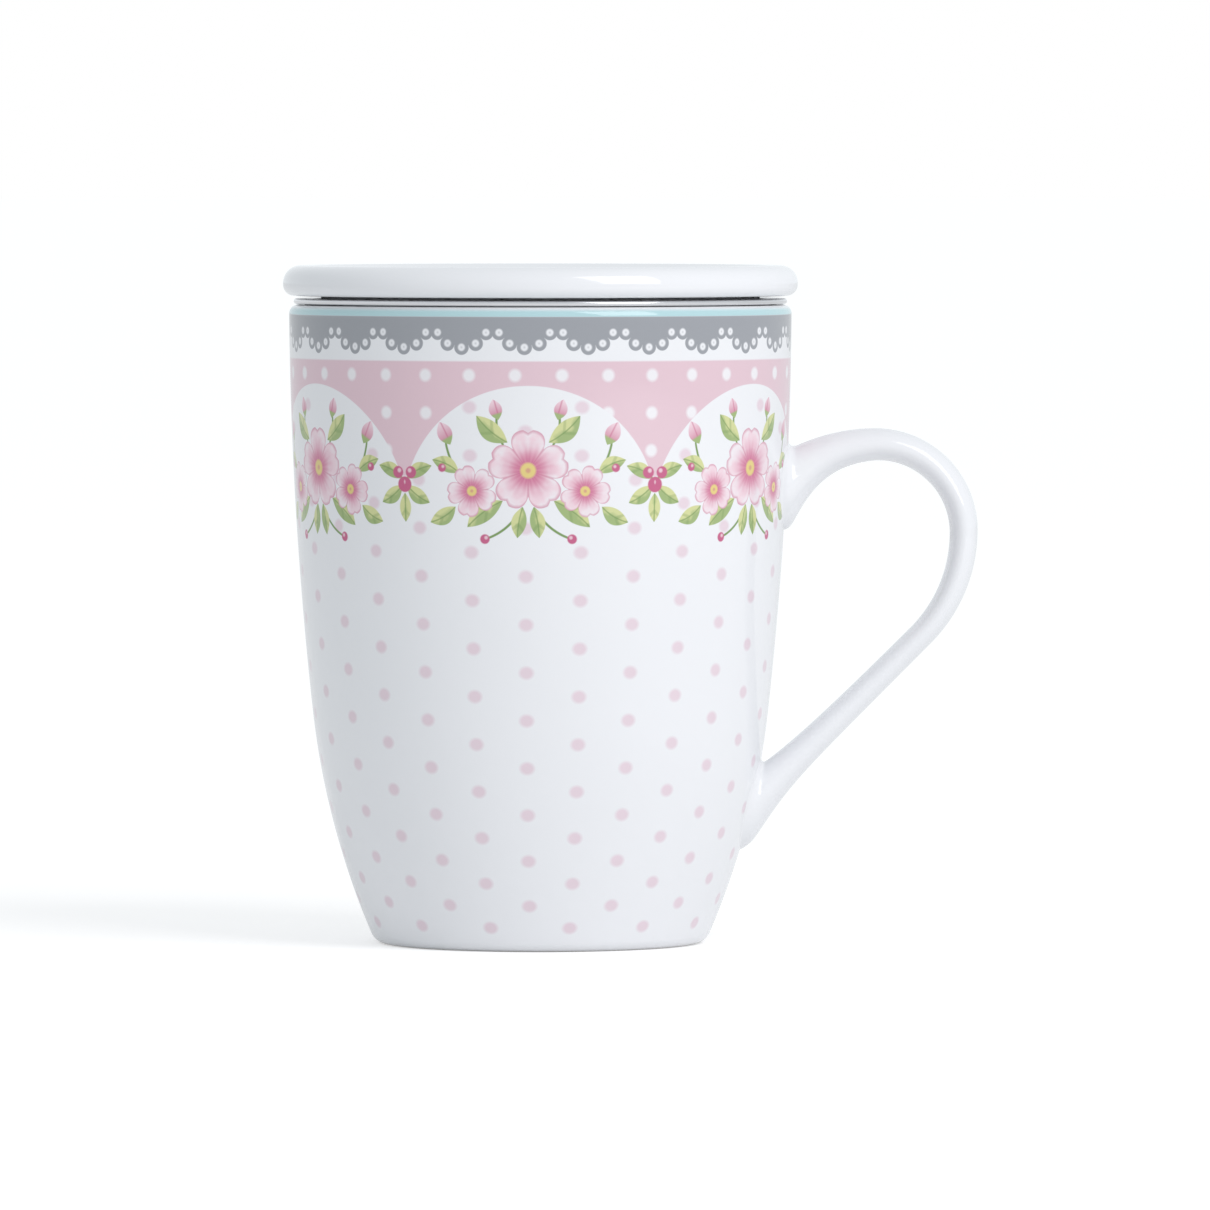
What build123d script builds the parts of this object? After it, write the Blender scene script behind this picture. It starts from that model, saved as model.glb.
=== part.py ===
"""Porcelain tea mug with a steel infuser basket and a loose porcelain lid.

Millimetres, +Z up. The mug stands on z = 0 with its axis on Z, and the handle points along +X.
The lid sits on the flange of the infuser, and the flange sits on the rim of the mug.
"""

import os
from math import acos, atan2, cos, degrees, exp, radians, sin, sqrt

from build123d import *

# Mug body: a barrel wall in two tangent arcs, standing on a foot ring
MUG_HEIGHT = 106.8
RIM_RADIUS = 42.0
TURN_INSET = 3.9
TURN_HEIGHT = 39.0
WALL_BULGE = 0.87
FOOT_INSET = 10.5
WALL = 3.4
FLOOR_HEIGHT = 6.2
FLOOR_ROUND = 9.0
FOOT_WIDTH = 4.2
FOOT_RECESS = 1.8
FOOT_ROUND = 1.4
FOOT_INNER_ROUND = 0.7
LIP_INNER_ROUND = 1.2
LIP_LAND = 0.2

# Handle: an oval section that leaves the wall as an arm, turns over a bow and a wider bend,
# and runs straight back to the wall, swelling at both roots
HANDLE_STANDOFF = 31.2
HANDLE_WIDTH = 9.2
CROWN_THICKNESS = 5.4
RUN_THICKNESS = 4.3
BOW_RADIUS = 15.0
BOW_HEIGHT = 68.8
BEND_RADIUS = 24.0
ARM_DROOP = 3.6
UPPER_ROOT_DROP = 7.5
LOWER_ROOT_HEIGHT = 23.2
UPPER_FLARE = 4.8
UPPER_FLARE_REACH = 4.2
LOWER_FLARE = 4.5
LOWER_FLARE_REACH = 5.3
ROOT_SPREAD = 2.6
ROOT_SINK = 3.0
ARM_STEPS = (0.12, 0.6, 1.2, 2.0)
RUN_STEPS = (3.0, 2.1, 1.3, 0.75, 0.3)
BOW_ANGLES = (90, 60, 30, 0)

# Infuser: a pressed collar, a perforated wall and a perforated base cup
SHEET = 0.4
WELD_GAP = 0.05
SEAT_GAP = 0.1
COLLAR_CLEARANCE = 1.2
COLLAR_HEIGHT = 19.0
COLLAR_BEND = 1.0
FLANGE_OVERHANG = 1.2
HEM_WIDTH = 1.9
HEM_GAP = 0.1
HEM_LAND = 0.1
BASKET_LIFT = 37.6
BASKET_CLEARANCE = 2.0
WALL_LAP = 4.0
CUP_SKIRT = 5.0
CUP_BEND = 1.2
HOLE_RADIUS = 1.1
HOLE_COLUMNS = 28
HOLE_ROWS = 7
HOLE_MARGIN = 4.5
PUNCH_LENGTH = 3.2
FLOOR_HOLE_RINGS = 4
FLOOR_HOLE_MARGIN = 5.2
FLOOR_HOLE_STEP = 6

# Lid: a round-edged disc with a shallow dish on top and a locating ring below
LID_OVERHANG = 1.0
LID_GAP = 0.45
LID_THICKNESS = 5.05
LID_TOP_ROUND = 2.9
LID_EDGE_LAND = 0.3
DISH_DEPTH = 1.0
DISH_MARGIN = 4.5
DISH_SLOPE = 5.0
DISH_ROUND = 4.0
RING_CLEARANCE = 0.4
RING_WIDTH = 3.2
RING_DEPTH = 3.8
RING_ROUND = 1.0
HOLLOW_DEPTH = 0.8

# Radii, levels and rounds that follow from the sizes above
TURN_RADIUS = RIM_RADIUS - TURN_INSET
FOOT_RADIUS = TURN_RADIUS - FOOT_INSET
MOUTH_RADIUS = RIM_RADIUS - WALL
LIP_OUTER_ROUND = WALL - LIP_INNER_ROUND - LIP_LAND
HEM_THICKNESS = 2 * SHEET + HEM_GAP
HEM_ROUND = (HEM_THICKNESS - HEM_LAND) / 2
FLANGE_BOTTOM = MUG_HEIGHT + SEAT_GAP
FLANGE_TOP = FLANGE_BOTTOM + HEM_THICKNESS
FLANGE_RADIUS = RIM_RADIUS - LIP_OUTER_ROUND + FLANGE_OVERHANG
COLLAR_RADIUS = MOUTH_RADIUS - COLLAR_CLEARANCE
BASKET_BOTTOM = FLOOR_HEIGHT + BASKET_LIFT
COLLAR_BOTTOM = FLANGE_TOP - COLLAR_HEIGHT
WALL_TOP = COLLAR_BOTTOM + WALL_LAP
CUP_TOP = BASKET_BOTTOM + CUP_SKIRT
LID_RADIUS = RIM_RADIUS + LID_OVERHANG
LID_BOTTOM = FLANGE_TOP + LID_GAP
LID_TOP = LID_BOTTOM + LID_THICKNESS
LID_BOTTOM_ROUND = LID_THICKNESS - LID_TOP_ROUND - LID_EDGE_LAND


def corner(profile, radius, height):
    """Corner of a turned piece's profile that lies nearest to a radius and a height."""
    return profile.vertices().sort_by_distance((radius, height))[0]


# Wall line of the mug as (radius, height), from the turn up to the rim and down to the foot
with BuildLine() as wall_line:
    upper_wall = SagittaArc((TURN_RADIUS, TURN_HEIGHT), (RIM_RADIUS, MUG_HEIGHT), -WALL_BULGE)
    lower_wall = TangentArc((TURN_RADIUS, TURN_HEIGHT), (FOOT_RADIUS, 0), tangent=-(upper_wall % 0))


def wall_radius(height):
    """Outer radius of the mug at a height, on the arc that the height falls on."""
    arc = upper_wall if height > TURN_HEIGHT else lower_wall
    rise = height - arc.arc_center.Y
    return arc.arc_center.X + sqrt(arc.radius**2 - rise**2)


def inward(arc, point):
    """Point of a wall arc moved by the wall's thickness towards the arc's centre."""
    return point + (arc.arc_center - point).normalized() * WALL


# Solid blank of the mug, which trims the handle
with BuildPart() as mug_blank:
    with BuildSketch(Plane.XZ) as blank_profile:
        with BuildLine():
            add(wall_line.line)
            Polyline((FOOT_RADIUS, 0), (0, 0), (0, MUG_HEIGHT), (RIM_RADIUS, MUG_HEIGHT))
        make_face()
    revolve(axis=Axis.Z)

# Profile of the hollow: the wall line moved inwards, closed by a rounded floor
inner_rim = inward(upper_wall, upper_wall @ 1)
inner_turn = inward(upper_wall, upper_wall @ 0)
inner_foot = inward(lower_wall, lower_wall @ 1)
with BuildSketch() as hollow_profile:
    with BuildLine():
        ThreePointArc(inner_turn, inward(upper_wall, upper_wall @ 0.5), inner_rim)
        ThreePointArc(inner_turn, inward(lower_wall, lower_wall @ 0.5), inner_foot)
        above_rim = inner_rim.Y + WALL
        Polyline(inner_foot, (0, inner_foot.Y), (0, above_rim), (inner_rim.X, above_rim), inner_rim)
    make_face()
    with Locations((0, FLOOR_HEIGHT)):
        Rectangle(RIM_RADIUS, MUG_HEIGHT, align=(Align.MIN, Align.MIN), mode=Mode.INTERSECT)
    fillet(corner(hollow_profile, FOOT_RADIUS, FLOOR_HEIGHT), FLOOR_ROUND)

# Mug body with its foot ring and rounded lip
with BuildPart() as mug_body:
    with BuildSketch(Plane.XZ) as body_profile:
        add(blank_profile.sketch_local)
        add(hollow_profile.sketch, mode=Mode.SUBTRACT)
        Rectangle(FOOT_RADIUS - FOOT_WIDTH, FOOT_RECESS, align=(Align.MIN, Align.MIN), mode=Mode.SUBTRACT)
        fillet(corner(body_profile, RIM_RADIUS, MUG_HEIGHT), LIP_OUTER_ROUND)
        fillet(corner(body_profile, MOUTH_RADIUS, MUG_HEIGHT), LIP_INNER_ROUND)
        fillet(corner(body_profile, FOOT_RADIUS, 0), FOOT_ROUND)
        fillet(corner(body_profile, FOOT_RADIUS - FOOT_WIDTH, 0), FOOT_INNER_ROUND)
    revolve(axis=Axis.Z)
mug_body.part.label = "mug_body"

# Centres of the bow and the bend, the line of the run, and where the handle meets the wall
side_thickness = (CROWN_THICKNESS + RUN_THICKNESS) / 2
bow_x = RIM_RADIUS + HANDLE_STANDOFF - BOW_RADIUS - side_thickness / 2
bend_x = bow_x + BOW_RADIUS - BEND_RADIUS
crown_top = BOW_HEIGHT + BOW_RADIUS + CROWN_THICKNESS / 2
upper_root_x = wall_radius(BOW_HEIGHT + BOW_RADIUS - UPPER_ROOT_DROP)
lower_root_x = wall_radius(LOWER_ROOT_HEIGHT)
root_from_bend = Vector(lower_root_x - bend_x, LOWER_ROOT_HEIGHT - BOW_HEIGHT)
root_bearing = degrees(atan2(root_from_bend.Y, root_from_bend.X))
bend_end = root_bearing + degrees(acos(BEND_RADIUS / root_from_bend.length))
run_slope = cos(radians(bend_end)) / -sin(radians(bend_end))


def across_path(x, z, tilt):
    """Plane across the handle's path, which leans from +X by the tilt in degrees."""
    return Plane((x, 0, z), x_dir=(0, 1, 0), z_dir=(cos(radians(tilt)), 0, sin(radians(tilt))))


def arm_station(offset):
    """Plane, half width and half thickness of the upper arm, at a distance from the wall."""
    fade = exp(-max(offset, 0) / UPPER_FLARE_REACH)
    half_thickness = CROWN_THICKNESS / 2 + UPPER_FLARE * fade
    x = upper_root_x + offset
    droop = ARM_DROOP * ((bow_x - x) / (bow_x - upper_root_x)) ** 2
    plane = across_path(x, crown_top - droop - half_thickness, 0)
    return plane, HANDLE_WIDTH / 2 + ROOT_SPREAD * fade, half_thickness


def bow_station(angle):
    """The same of the bow, above its centre, and of the bend below that."""
    share = (90 - angle) / (90 - bend_end)
    thickness = CROWN_THICKNESS + (RUN_THICKNESS - CROWN_THICKNESS) * share
    centre_x, radius = (bow_x, BOW_RADIUS) if angle >= 0 else (bend_x, BEND_RADIUS)
    x = centre_x + radius * cos(radians(angle))
    z = BOW_HEIGHT + radius * sin(radians(angle))
    return across_path(x, z, angle - 90), HANDLE_WIDTH / 2, thickness / 2


def run_station(offset):
    """The same of the straight run, as upright sections at a distance from the wall."""
    fade = exp(-max(offset, 0) / LOWER_FLARE_REACH)
    half_thickness = RUN_THICKNESS / 2 / cos(radians(90 + bend_end)) + LOWER_FLARE * fade
    plane = across_path(lower_root_x + offset, LOWER_ROOT_HEIGHT + offset * run_slope, 180)
    return plane, HANDLE_WIDTH / 2 + ROOT_SPREAD * fade, half_thickness


# Handle, lofted along its stations and trimmed to the wall that it is luted on
with BuildPart() as mug_handle:
    stations = [arm_station(-ROOT_SINK)]
    stations += [arm_station(step * UPPER_FLARE_REACH) for step in ARM_STEPS]
    stations += [bow_station(angle) for angle in (*BOW_ANGLES, bend_end / 2, bend_end)]
    stations += [run_station(step * LOWER_FLARE_REACH) for step in RUN_STEPS]
    stations += [run_station(-ROOT_SINK)]
    for plane, half_width, half_thickness in stations:
        with BuildSketch(plane):
            with BuildLine():
                EllipticalCenterArc((0, 0), half_width, half_thickness, 0, arc_size=180)
                EllipticalCenterArc((0, 0), half_width, half_thickness, 180, arc_size=180)
            make_face()
    loft()
    add(mug_blank.part, mode=Mode.SUBTRACT)
mug_handle.part.label = "mug_handle"


basket_foot_radius = wall_radius(BASKET_BOTTOM) - WALL - BASKET_CLEARANCE


def basket_radius(height, inset=0.0):
    """Radius of the infuser's cone at a height, moved inwards from the outer face of the collar."""
    rise = (height - BASKET_BOTTOM) / (FLANGE_TOP - BASKET_BOTTOM)
    return basket_foot_radius + (COLLAR_RADIUS - basket_foot_radius) * rise - inset


# Infuser collar: a hemmed flange bent down into a short skirt
with BuildPart() as infuser_collar:
    under_flange = FLANGE_TOP - SHEET
    with BuildSketch(Plane.XZ) as collar_profile:
        Polygon(
            (FLANGE_RADIUS, FLANGE_TOP),
            (FLANGE_RADIUS, FLANGE_BOTTOM),
            (FLANGE_RADIUS - HEM_WIDTH, FLANGE_BOTTOM),
            (FLANGE_RADIUS - HEM_WIDTH, under_flange),
            (basket_radius(under_flange), under_flange),
            (basket_radius(COLLAR_BOTTOM), COLLAR_BOTTOM),
            (basket_radius(COLLAR_BOTTOM, SHEET), COLLAR_BOTTOM),
            (basket_radius(FLANGE_TOP, SHEET), FLANGE_TOP),
            align=None,
        )
        fillet(corner(collar_profile, FLANGE_RADIUS, FLANGE_TOP), HEM_ROUND)
        fillet(corner(collar_profile, FLANGE_RADIUS, FLANGE_BOTTOM), HEM_ROUND)
        fillet(corner(collar_profile, basket_radius(FLANGE_TOP, SHEET), FLANGE_TOP), COLLAR_BEND + SHEET)
        fillet(corner(collar_profile, basket_radius(under_flange), under_flange), COLLAR_BEND)
    revolve(axis=Axis.Z)
infuser_collar.part.label = "infuser_collar"

# Infuser wall: a perforated cone that laps inside the collar and inside the base cup
with BuildPart() as infuser_wall:
    wall_bottom = BASKET_BOTTOM + SHEET + CUP_BEND
    wall_inset = SHEET + WELD_GAP
    with BuildSketch(Plane.XZ):
        Polygon(
            (basket_radius(WALL_TOP, wall_inset), WALL_TOP),
            (basket_radius(WALL_TOP, wall_inset + SHEET), WALL_TOP),
            (basket_radius(wall_bottom, wall_inset + SHEET), wall_bottom),
            (basket_radius(wall_bottom, wall_inset), wall_bottom),
            align=None,
        )
    revolve(axis=Axis.Z)
    lowest_row = CUP_TOP + HOLE_MARGIN
    row_pitch = (COLLAR_BOTTOM - HOLE_MARGIN - lowest_row) / (HOLE_ROWS - 1)
    for row in range(HOLE_ROWS):
        height = lowest_row + row * row_pitch
        stagger = (row % 2) * 180 / HOLE_COLUMNS
        with Locations((0, 0, height)):
            with PolarLocations(basket_radius(height), HOLE_COLUMNS, start_angle=stagger):
                Cylinder(HOLE_RADIUS, PUNCH_LENGTH, rotation=(0, 90, 0), mode=Mode.SUBTRACT)
infuser_wall.part.label = "infuser_wall"

# Infuser base: a shallow perforated cup whose skirt holds the wall
with BuildPart() as infuser_base:
    cup_floor = BASKET_BOTTOM + SHEET
    with BuildSketch(Plane.XZ) as cup_profile:
        Polygon(
            (0, BASKET_BOTTOM),
            (basket_radius(BASKET_BOTTOM), BASKET_BOTTOM),
            (basket_radius(CUP_TOP), CUP_TOP),
            (basket_radius(CUP_TOP, SHEET), CUP_TOP),
            (basket_radius(cup_floor, SHEET), cup_floor),
            (0, cup_floor),
            align=None,
        )
        fillet(corner(cup_profile, basket_radius(BASKET_BOTTOM), BASKET_BOTTOM), CUP_BEND + SHEET)
        fillet(corner(cup_profile, basket_radius(cup_floor, SHEET), cup_floor), CUP_BEND)
    revolve(axis=Axis.Z)
    ring_pitch = (basket_foot_radius - FLOOR_HOLE_MARGIN) / FLOOR_HOLE_RINGS
    with Locations((0, 0, BASKET_BOTTOM)):
        Cylinder(HOLE_RADIUS, PUNCH_LENGTH, mode=Mode.SUBTRACT)
        for ring in range(1, FLOOR_HOLE_RINGS + 1):
            with PolarLocations(ring * ring_pitch, ring * FLOOR_HOLE_STEP):
                Cylinder(HOLE_RADIUS, PUNCH_LENGTH, mode=Mode.SUBTRACT)
infuser_base.part.label = "infuser_base"

# Lid: a disc turned in one piece with its locating ring
with BuildPart() as lid:
    ring_radius = COLLAR_RADIUS - SHEET - RING_CLEARANCE
    ring_inner = ring_radius - RING_WIDTH
    ring_bottom = LID_BOTTOM - RING_DEPTH
    hollow_top = LID_BOTTOM + HOLLOW_DEPTH
    dish_edge = LID_RADIUS - DISH_MARGIN
    dish_floor = LID_TOP - DISH_DEPTH
    with BuildSketch(Plane.XZ) as lid_profile:
        Polygon(
            (0, dish_floor),
            (dish_edge - DISH_SLOPE, dish_floor),
            (dish_edge, LID_TOP),
            (LID_RADIUS, LID_TOP),
            (LID_RADIUS, LID_BOTTOM),
            (ring_radius, LID_BOTTOM),
            (ring_radius, ring_bottom),
            (ring_inner, ring_bottom),
            (ring_inner, hollow_top),
            (0, hollow_top),
            align=None,
        )
        fillet(corner(lid_profile, LID_RADIUS, LID_TOP), LID_TOP_ROUND)
        fillet(corner(lid_profile, LID_RADIUS, LID_BOTTOM), LID_BOTTOM_ROUND)
        fillet(corner(lid_profile, dish_edge, LID_TOP), DISH_ROUND)
        fillet(corner(lid_profile, dish_edge - DISH_SLOPE, dish_floor), DISH_ROUND)
        fillet(corner(lid_profile, ring_radius, ring_bottom), RING_ROUND)
        fillet(corner(lid_profile, ring_inner, ring_bottom), RING_ROUND)
        fillet(corner(lid_profile, ring_inner, hollow_top), RING_ROUND)
    revolve(axis=Axis.Z)
lid.part.label = "lid"

os.makedirs("parts", exist_ok=True)
for piece in (mug_body, mug_handle, infuser_collar, infuser_wall, infuser_base, lid):
    export_step(piece.part, f"parts/{piece.part.label}.step")
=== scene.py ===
"""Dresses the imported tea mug: a printed porcelain body, its handle, a loose lid and a steel infuser."""

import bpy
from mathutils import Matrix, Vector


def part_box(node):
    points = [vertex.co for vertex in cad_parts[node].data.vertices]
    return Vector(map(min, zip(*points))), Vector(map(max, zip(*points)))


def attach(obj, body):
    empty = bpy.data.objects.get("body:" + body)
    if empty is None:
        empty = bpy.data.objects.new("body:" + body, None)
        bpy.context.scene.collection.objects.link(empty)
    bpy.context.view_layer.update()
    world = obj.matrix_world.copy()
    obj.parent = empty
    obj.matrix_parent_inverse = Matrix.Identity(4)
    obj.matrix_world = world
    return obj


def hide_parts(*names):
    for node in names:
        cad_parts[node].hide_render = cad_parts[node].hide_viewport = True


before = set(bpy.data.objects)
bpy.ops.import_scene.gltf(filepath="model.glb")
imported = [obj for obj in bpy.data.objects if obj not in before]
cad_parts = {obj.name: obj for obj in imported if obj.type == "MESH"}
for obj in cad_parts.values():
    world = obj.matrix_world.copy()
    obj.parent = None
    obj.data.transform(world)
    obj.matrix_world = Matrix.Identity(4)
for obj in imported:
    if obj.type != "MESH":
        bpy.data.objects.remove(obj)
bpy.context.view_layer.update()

import math

import bpy
import numpy as np
from bpy.props import FloatProperty, FloatVectorProperty, IntProperty, PointerProperty
from mathutils import Vector

bl_info = {
    "name": "Tea Mug",
    "version": (1, 0, 0),
    "blender": (4, 5, 0),
    "location": "View3D > Sidebar > Tea Mug",
    "description": "Builds a printed porcelain tea mug with its lid and steel infuser",
    "category": "Add Mesh",
}

MM = 0.001
PER_METRE = 1000.0

# Points round a turned piece, round the handle and round the floor, and rings along the handle's parts
COLUMNS = 256
HANDLE_COLUMNS = 72
FLOOR_COLUMNS = 64
ARM_RINGS = 33
BOW_RINGS = 61
RUN_RINGS = 49
# A distance at which the handle no longer follows the wall, in metres
FAR_FROM_WALL = 1.0

# Points closer than this are one point, in metres
SAME_PLACE = 1e-7
# Edges that turn by more than this stay sharp
SHARP_EDGE = math.radians(40.0)
# A level that no print reaches, in millimetres, for points inside the mug
FAR_LEVEL = 1000.0

BODY_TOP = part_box("mug_body")[1].z
LID_LOW, LID_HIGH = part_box("lid")
COLLAR_LOW, COLLAR_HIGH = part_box("infuser_collar")
WALL_LOW, WALL_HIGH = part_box("infuser_wall")
BASE_LOW, BASE_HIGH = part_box("infuser_base")


def srgb(red, green, blue):
    """Scene-linear colour of an 8-bit display colour."""
    share = np.array((red, green, blue)) / 255
    linear = np.where(share <= 0.04045, share / 12.92, ((share + 0.055) / 1.055) ** 2.4)
    return tuple(linear.tolist())


def length(name, description, default):
    """A size in metres that the user can change."""
    return FloatProperty(name=name, description=description, default=default, unit="LENGTH", precision=5)


def mm(name, description, millimetres):
    """A size given in millimetres that the user can change."""
    return length(name, description, millimetres * MM)


def number(name, description, default):
    """A plain number that the user can change."""
    return FloatProperty(name=name, description=description, default=default)


def colour(name, description, default):
    """A colour that the user can change."""
    return FloatVectorProperty(name=name, description=description, default=default, subtype="COLOR", size=3)


def count(name, description, default):
    """A number of copies that the user can change."""
    return IntProperty(name=name, description=description, default=default, min=1)


def angle(name, description, degrees):
    """An angle that the user can change."""
    return FloatProperty(name=name, description=description, default=math.radians(degrees), subtype="ANGLE")


class MugSizes(bpy.types.PropertyGroup):
    """Sizes of the porcelain body."""

    height: length("Height", "Height of the rim above the table", BODY_TOP)
    rim_radius: mm("Rim radius", "Outer radius at the rim", 42.0)
    turn_radius: mm("Turn radius", "Outer radius where the two wall arcs meet", 38.1)
    turn_height: mm("Turn height", "Height where the two wall arcs meet", 39.0)
    bulge: mm("Bulge", "Rise of the upper wall arc over its chord", 0.87)
    foot_radius: mm("Foot radius", "Outer radius of the foot before its round", 27.6)
    wall: mm("Wall", "Thickness of the wall", 3.4)
    floor_height: mm("Floor height", "Height of the floor inside", 6.2)
    floor_round: mm("Floor round", "Round between floor and wall inside", 9.0)
    foot_width: mm("Foot width", "Width of the foot ring", 4.2)
    foot_recess: mm("Foot recess", "Depth of the base inside the foot ring", 1.8)
    foot_round: mm("Foot round", "Outer round of the foot ring", 2.7)
    foot_inner_round: mm("Inner foot round", "Rounds of the recess in the base", 0.7)
    lip_outer_round: mm("Outer lip round", "Outer round of the rim", 1.5)
    lip_inner_round: mm("Inner lip round", "Inner round of the rim", 1.2)
    bare_height: mm("Bare height", "Height up to which the foot is wiped bare of glaze", 0.1)


class HandleSizes(bpy.types.PropertyGroup):
    """Sizes of the porcelain handle."""

    standoff: mm("Standoff", "Reach of the handle beyond the rim", 31.2)
    width: mm("Width", "Width of the handle across its plane", 9.2)
    crown: mm("Crown thickness", "Thickness at the top of the bow", 5.4)
    run: mm("Run thickness", "Thickness along the lower run", 4.3)
    bow_radius: mm("Bow radius", "Middle radius of the upper bow", 14.6)
    bow_height: mm("Bow height", "Height of the centre of the bow", 68.8)
    bend_radius: mm("Bend radius", "Middle radius of the lower bend", 24.6)
    droop: mm("Droop", "Fall of the upper arm towards the wall", 3.6)
    upper_drop: mm("Upper root drop", "Depth of the upper root below the top of the bow", 7.5)
    lower_root: mm("Lower root height", "Height where the lower run meets the wall", 23.0)
    upper_flare: mm("Upper flare", "Swelling of the upper root", 5.2)
    upper_reach: mm("Upper flare reach", "Distance over which the upper root swells", 4.2)
    lower_flare: mm("Lower flare", "Swelling of the lower root above the run", 3.6)
    lower_reach: mm("Lower flare reach", "Distance over which the lower root swells above the run", 7.5)
    heel: mm("Heel", "Swelling of the lower root below the run", 6.8)
    heel_reach: mm("Heel reach", "Distance over which the heel swells", 2.5)
    heel_round: mm("Heel round", "Depth of the round at the lower end of both roots", 2.4)
    heel_round_reach: mm("Heel round reach", "Distance over which that end is rounded", 1.6)
    spread: mm("Root spread", "Widening of both roots", 2.6)
    spread_reach: mm("Root spread reach", "Distance over which the lower root widens", 5.3)
    seam: mm("Seam", "Fillet of slip and glaze where a root meets the wall", 1.7)
    hold_reach: mm("Hold reach", "Distance over which the sections follow the wall", 2.8)


class LidSizes(bpy.types.PropertyGroup):
    """Sizes of the porcelain lid."""

    radius: length("Radius", "Outer radius of the lid", LID_HIGH.y)
    thickness: mm("Thickness", "Thickness of the edge", 5.05)
    top_round: mm("Top round", "Upper round of the edge", 2.9)
    bottom_round: mm("Bottom round", "Lower round of the edge", 1.85)
    dish_depth: mm("Dish depth", "Depth of the dish on top", 1.0)
    dish_margin: mm("Dish margin", "Width of the rim round the dish", 4.5)
    dish_slope: mm("Dish slope", "Width of the slope into the dish", 5.0)
    dish_round: mm("Dish round", "Rounds of the dish", 4.0)
    ring_radius: mm("Ring radius", "Outer radius of the locating ring", 36.6)
    ring_width: mm("Ring width", "Width of the locating ring", 3.2)
    ring_round: mm("Ring round", "Rounds of the locating ring", 1.0)
    hollow: mm("Hollow", "Depth of the hollow inside the ring", 0.8)
    bare_height: mm("Bare height", "Height up to which the ring is wiped bare of glaze", 0.3)


class InfuserSizes(bpy.types.PropertyGroup):
    """Sizes of the steel infuser."""

    sheet: mm("Sheet", "Thickness of the sheet", 0.4)
    flange_radius: length("Flange radius", "Outer radius of the flange", COLLAR_HIGH.y)
    collar_radius: mm("Collar radius", "Outer radius of the collar at the flange", 37.4)
    foot_radius: mm("Foot radius", "Outer radius of the cone at its bottom", 33.21)
    hem_width: mm("Hem width", "Width of the folded hem", 1.9)
    hem_thickness: mm("Hem thickness", "Thickness of the folded hem", 0.9)
    hem_round: mm("Hem round", "Rounds of the folded hem", 0.4)
    collar_bend: mm("Collar bend", "Inner radius of the bend under the flange", 1.0)
    weld_gap: mm("Weld gap", "Room between lapped sheets", 0.05)
    cup_bend: mm("Cup bend", "Inner radius of the bend of the base cup", 1.2)
    hole_radius: mm("Hole radius", "Radius of the holes", 0.48)
    hole_margin: mm("Hole margin", "Plain sheet between the holes and a lapped edge", 1.4)
    hole_columns: count("Hole columns", "Holes in one row of the wall", 90)
    hole_rows: count("Hole rows", "Rows of holes in the wall", 26)
    floor_columns: count("Floor columns", "Holes in one ring of the base", 44)
    floor_rows: count("Floor rows", "Rings of holes in the base", 10)
    floor_centre: mm("Plain centre", "Radius of the plain centre of the base", 9.0)


class PrintSizes(bpy.types.PropertyGroup):
    """Places and sizes of the print, with heights measured up the wall in millimetres."""

    edge: number("Edge", "Softness of the printed edges", 0.14)
    dot_edge: number("Dot edge", "Softness of the edge of a dot", 0.56)
    line_edge: number("Line edge", "Softness of the upper edge of the line at the rim", 0.7)
    eyelet_edge: number("Eyelet edge", "Softness of a lace eyelet and of the top of the band", 0.28)
    dot_cut: number("Dot cut", "Softness of the ends of the dotted part", 0.2)
    line_low: number("Line low", "Lower edge of the line at the rim", 105.2)
    line_high: number("Line high", "Upper edge of the line at the rim", 106.4)
    lace_count: count("Lace scallops", "Scallops of lace round the mug", 25)
    lace_turn: angle("Lace turn", "Bearing of the front scallop", -3.3)
    lace_disc: number("Lace ring", "Outer radius of a lace eyelet", 1.25)
    lace_hole: number("Lace eyelet", "Radius of a lace eyelet", 0.6)
    lace_thread: number("Lace thread", "Radius of the grey point in a lace eyelet", 0.16)
    band_high: number("Band high", "Upper edge of the dotted band", 97.9)
    band_low: number("Band low", "Lower end of the stems of the band", 79.0)
    band_dots: count("Band dots", "Dots in one row of the band", 34)
    band_turn: angle("Band turn", "Bearing of a dot of the band", 5.18)
    band_level: number("Band level", "Height of a row of dots of the band", 95.6)
    band_pitch: number("Band pitch", "Distance between rows of dots of the band", 6.2)
    arch_count: count("Arches", "Round arches cut out of the band", 6)
    arch_turn: angle("Arch turn", "Bearing of the front arch", -2.5)
    arch_radius: number("Arch radius", "Radius of an arch", 22.2)
    arch_centre: number("Arch centre", "Height of the centre of an arch", 71.7)
    dot_radius: number("Dot radius", "Upright radius of every dot", 1.02)
    dot_stretch: number("Dot stretch", "How much wider than tall a dot is", 1.14)
    dot_count: count("Dots", "Dots in one row below the border", 14)
    dot_turn: angle("Dot turn", "Bearing of a dot in the even rows", -3.1)
    dot_pitch: number("Dot pitch", "Distance between rows of dots", 3.98)
    dot_level: number("Dot level", "Height of an even row of dots", 62.5)
    dot_low: number("Dot low", "Height above which there are dots", 1.2)
    dot_high: number("Dot high", "Height below which there are dots", 92.4)


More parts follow.
